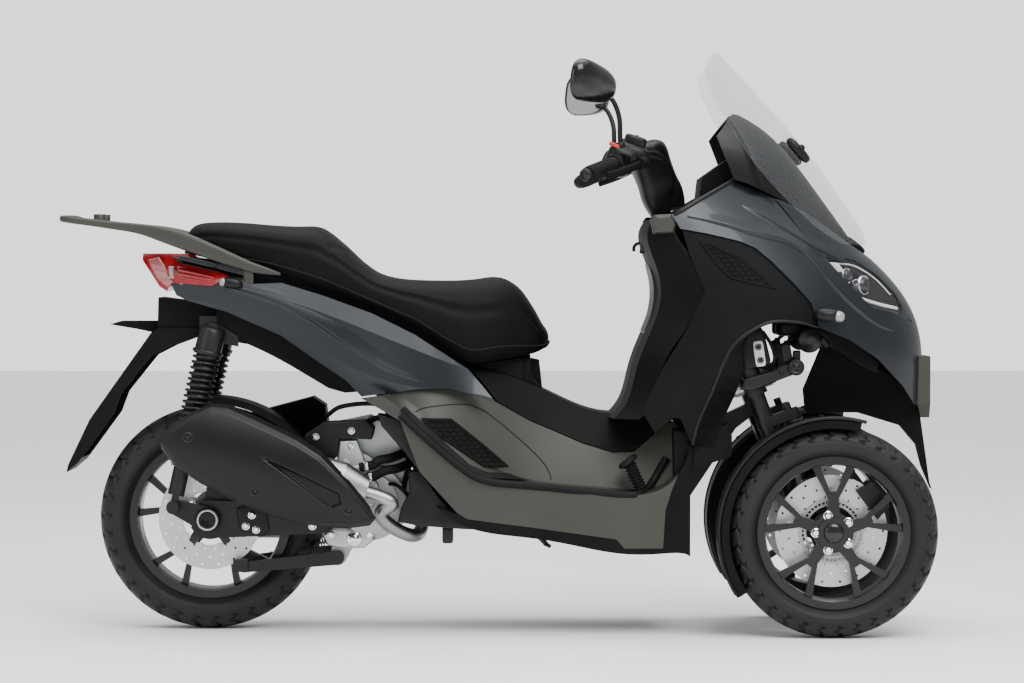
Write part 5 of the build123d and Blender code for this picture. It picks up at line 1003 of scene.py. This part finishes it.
def belt_outline(front, rear, n=40):
    """Outline round two circles of given radii at crank and axle, joined by their outer tangents."""
    way = AXLE_END - CRANK
    turned = np.arctan2(way[1], way[0])
    lean = np.arccos((front - rear) / np.hypot(*way))
    a = np.linspace(turned + lean, turned + 2 * pi - lean, n)
    b = np.linspace(turned - lean, turned + lean, n)
    return np.vstack([CRANK + front * np.c_[np.cos(a), np.sin(a)], AXLE_END + rear * np.c_[np.cos(b), np.sin(b)]])


def left(name, shape, mat):
    """Piece of the chassis drawn on the right and set on the left."""
    piece(name, mirrored(shape), mat)


left("belt_cover", slab(belt_outline(0.084, 0.045), -0.1848, COVER_Y, 0.008, 240), SATIN)
left("belt_boss", join(lathe([(0, 0.008), (0.034, 0.008), (0.040, 0.004), (0.041, -0.001)],
                             (CRANK[0], COVER_Y, CRANK[1]), OUT, 48),
                       lathe([(0, 0.006), (0.024, 0.006), (0.028, 0.003), (0.029, -0.001)],
                             (AXLE_END[0], COVER_Y, AXLE_END[1]), OUT, 48)), SATIN)
ring = belt_outline(0.0915, 0.0515)[[2, 10, 19, 28, 37, 44, 60, 75]]
left("belt_bolts", bolts([(x, CASE_Y, z) for x, z in ring], OUT, 0.0046, 0.0045), STEEL)
ribs = [smooth_path([(-0.425 - 0.036 * k, COVER_Y - 0.0005, 0.345 - 0.006 * k),
                     (-0.440 - 0.036 * k, COVER_Y - 0.0015, 0.300),
                     (-0.436 - 0.036 * k, COVER_Y - 0.0005, 0.250 - 0.002 * k)], 20) for k in range(4)]
left("belt_ribs", join(*[tube(rib, 0.003, 8) for rib in ribs]), SATIN)
left("air_lid", slab([(-0.598, 0.372), (-0.432, 0.392), (-0.416, 0.440), (-0.424, 0.508), (-0.446, 0.524),
                      (-0.584, 0.488), (-0.606, 0.456)], -0.1818, LID_Y, 0.006), SATIN)
left("air_bolts", bolts([(x, LID_Y, z) for x, z in ((-0.584, 0.388), (-0.436, 0.412), (-0.440, 0.506),
                                                    (-0.584, 0.474))], OUT, 0.0042, 0.004), STEEL)


# Rider's face of the leg shield: glove lid, key lock and bag hook; foot of the screen

def rear_skin(node, low, high, degree=4, count=15):
    """Rear face of a CAD node as x(y, z): a polynomial fitted to rays cast forwards over a box."""
    hits = []
    for y in np.linspace(low[0], high[0], count):
        for z in np.linspace(low[1], high[1], count):
            place = cast(nodes[node], (-0.5, y, z), (1, 0, 0))
            if place is not None:
                hits.append((y, z, place.x))
    hits = np.array(hits)
    return fitted(hits[:, :2], hits[:, 2], low, high, degree)


rear_face = rear_skin("leg_shield", (-0.18, 0.60), (0.18, 0.93))


def face_lid(middle, half, rise, power=5.0, n=40, around=96):
    """Rounded lid on the rider's face: rings of a superellipse over (y, z), raised towards the rider and let down
    over a quarter circle at the rim."""
    t = np.r_[np.linspace(0.02, 0.93, n - 8), np.linspace(0.945, 1.0, 8)][:, None]
    c, s = rounded(circle(around)[None], 2 / power)
    y, z = middle[0] + half[0] * t * c, middle[1] + half[1] * t * s
    x = rear_face(y, z) - rise * np.sqrt(1 - np.clip((t - 0.93) / 0.07, 0, 1) ** 2) + 0.001
    return grid(np.stack([x, y, z], -1), close_v=True)


piece("glove_lid", face_lid((0.0, 0.775), (0.135, 0.082), 0.005), SATIN)
y, z = -0.075, 0.895
piece("key_lock", lathe([(0, 0.004), (0.009, 0.004), (0.010, 0.007), (0.015, 0.007), (0.017, 0.004), (0.017, -0.004)],
                        (float(rear_face(y, z)), y, z), (-1, 0, 0.2), 40), STEEL)
y, z = 0.060, 0.905
x = float(rear_face(y, z))
hook = [(x + 0.004, y, z), (x - 0.008, y, z - 0.002), (x - 0.015, y, z - 0.010), (x - 0.015, y, z - 0.020)]
piece("bag_hook", tube(smooth_path(hook, 40), 0.004, 12), SATIN)
piece("screen_foot", pillow((0.838, 0, 0.899), (0.030, 0.034, 0.010), 3, turn_y(38)), BLACK)

# Stage, light and camera
bpy.ops.mesh.primitive_plane_add(size=40)
floor = bpy.context.object
floor.name = "floor"
FLOOR = shader("floor_pale", (0.95, 0.95, 0.95), 0.6, drift=0.02, bump=0.02, patch=2)
floor.data.materials.append(FLOOR)

SKY_LIGHT, SKY_SEEN = 0.6, 1.8
world = bpy.data.worlds.new("studio")
bpy.context.scene.world = world
world.use_nodes = True
sky = world.node_tree.nodes["Background"]
sky.inputs["Color"].default_value = (0.96, 0.97, 0.98, 1)
ray = world.node_tree.nodes.new("ShaderNodeLightPath")
lift = world.node_tree.nodes.new("ShaderNodeMapRange")
lift.inputs["To Min"].default_value, lift.inputs["To Max"].default_value = SKY_LIGHT, SKY_SEEN
world.node_tree.links.new(ray.outputs["Is Camera Ray"], lift.inputs["Value"])
world.node_tree.links.new(lift.outputs["Result"], sky.inputs["Strength"])


def softbox(name, place, aim, size, power):
    """Square area light at a place, turned to face a point."""
    data = bpy.data.lights.new(name, "AREA")
    data.energy, data.size = power, size
    lamp = bpy.data.objects.new(name, data)
    bpy.context.scene.collection.objects.link(lamp)
    lamp.location = place
    lamp.rotation_euler = (Vector(aim) - Vector(place)).to_track_quat("-Z", "Y").to_euler()


MIDDLE = (0, 0, 0.6)
softbox("key", (1.5, -3.6, 4.2), MIDDLE, 3.0, 290)
softbox("fill", (-3.5, -3.0, 2.0), MIDDLE, 2.5, 45)
softbox("top", (0, 0.4, 4.6), MIDDLE, 3.5, 110)
sun = bpy.data.lights.new("ceiling", "SUN")
sun.energy, sun.angle = 2.2, 1.6
bpy.context.scene.collection.objects.link(bpy.data.objects.new("ceiling", sun))

LOOK_DOWN = radians(1.26)
lens = bpy.data.cameras.new("photo")
lens.sensor_width, lens.lens = 36, 127
camera = bpy.data.objects.new("photo", lens)
bpy.context.scene.collection.objects.link(camera)
camera.location = (0.034, -8.5, 0.86)
camera.rotation_euler = (pi / 2 - LOOK_DOWN, 0, 0)
bpy.context.scene.camera = camera
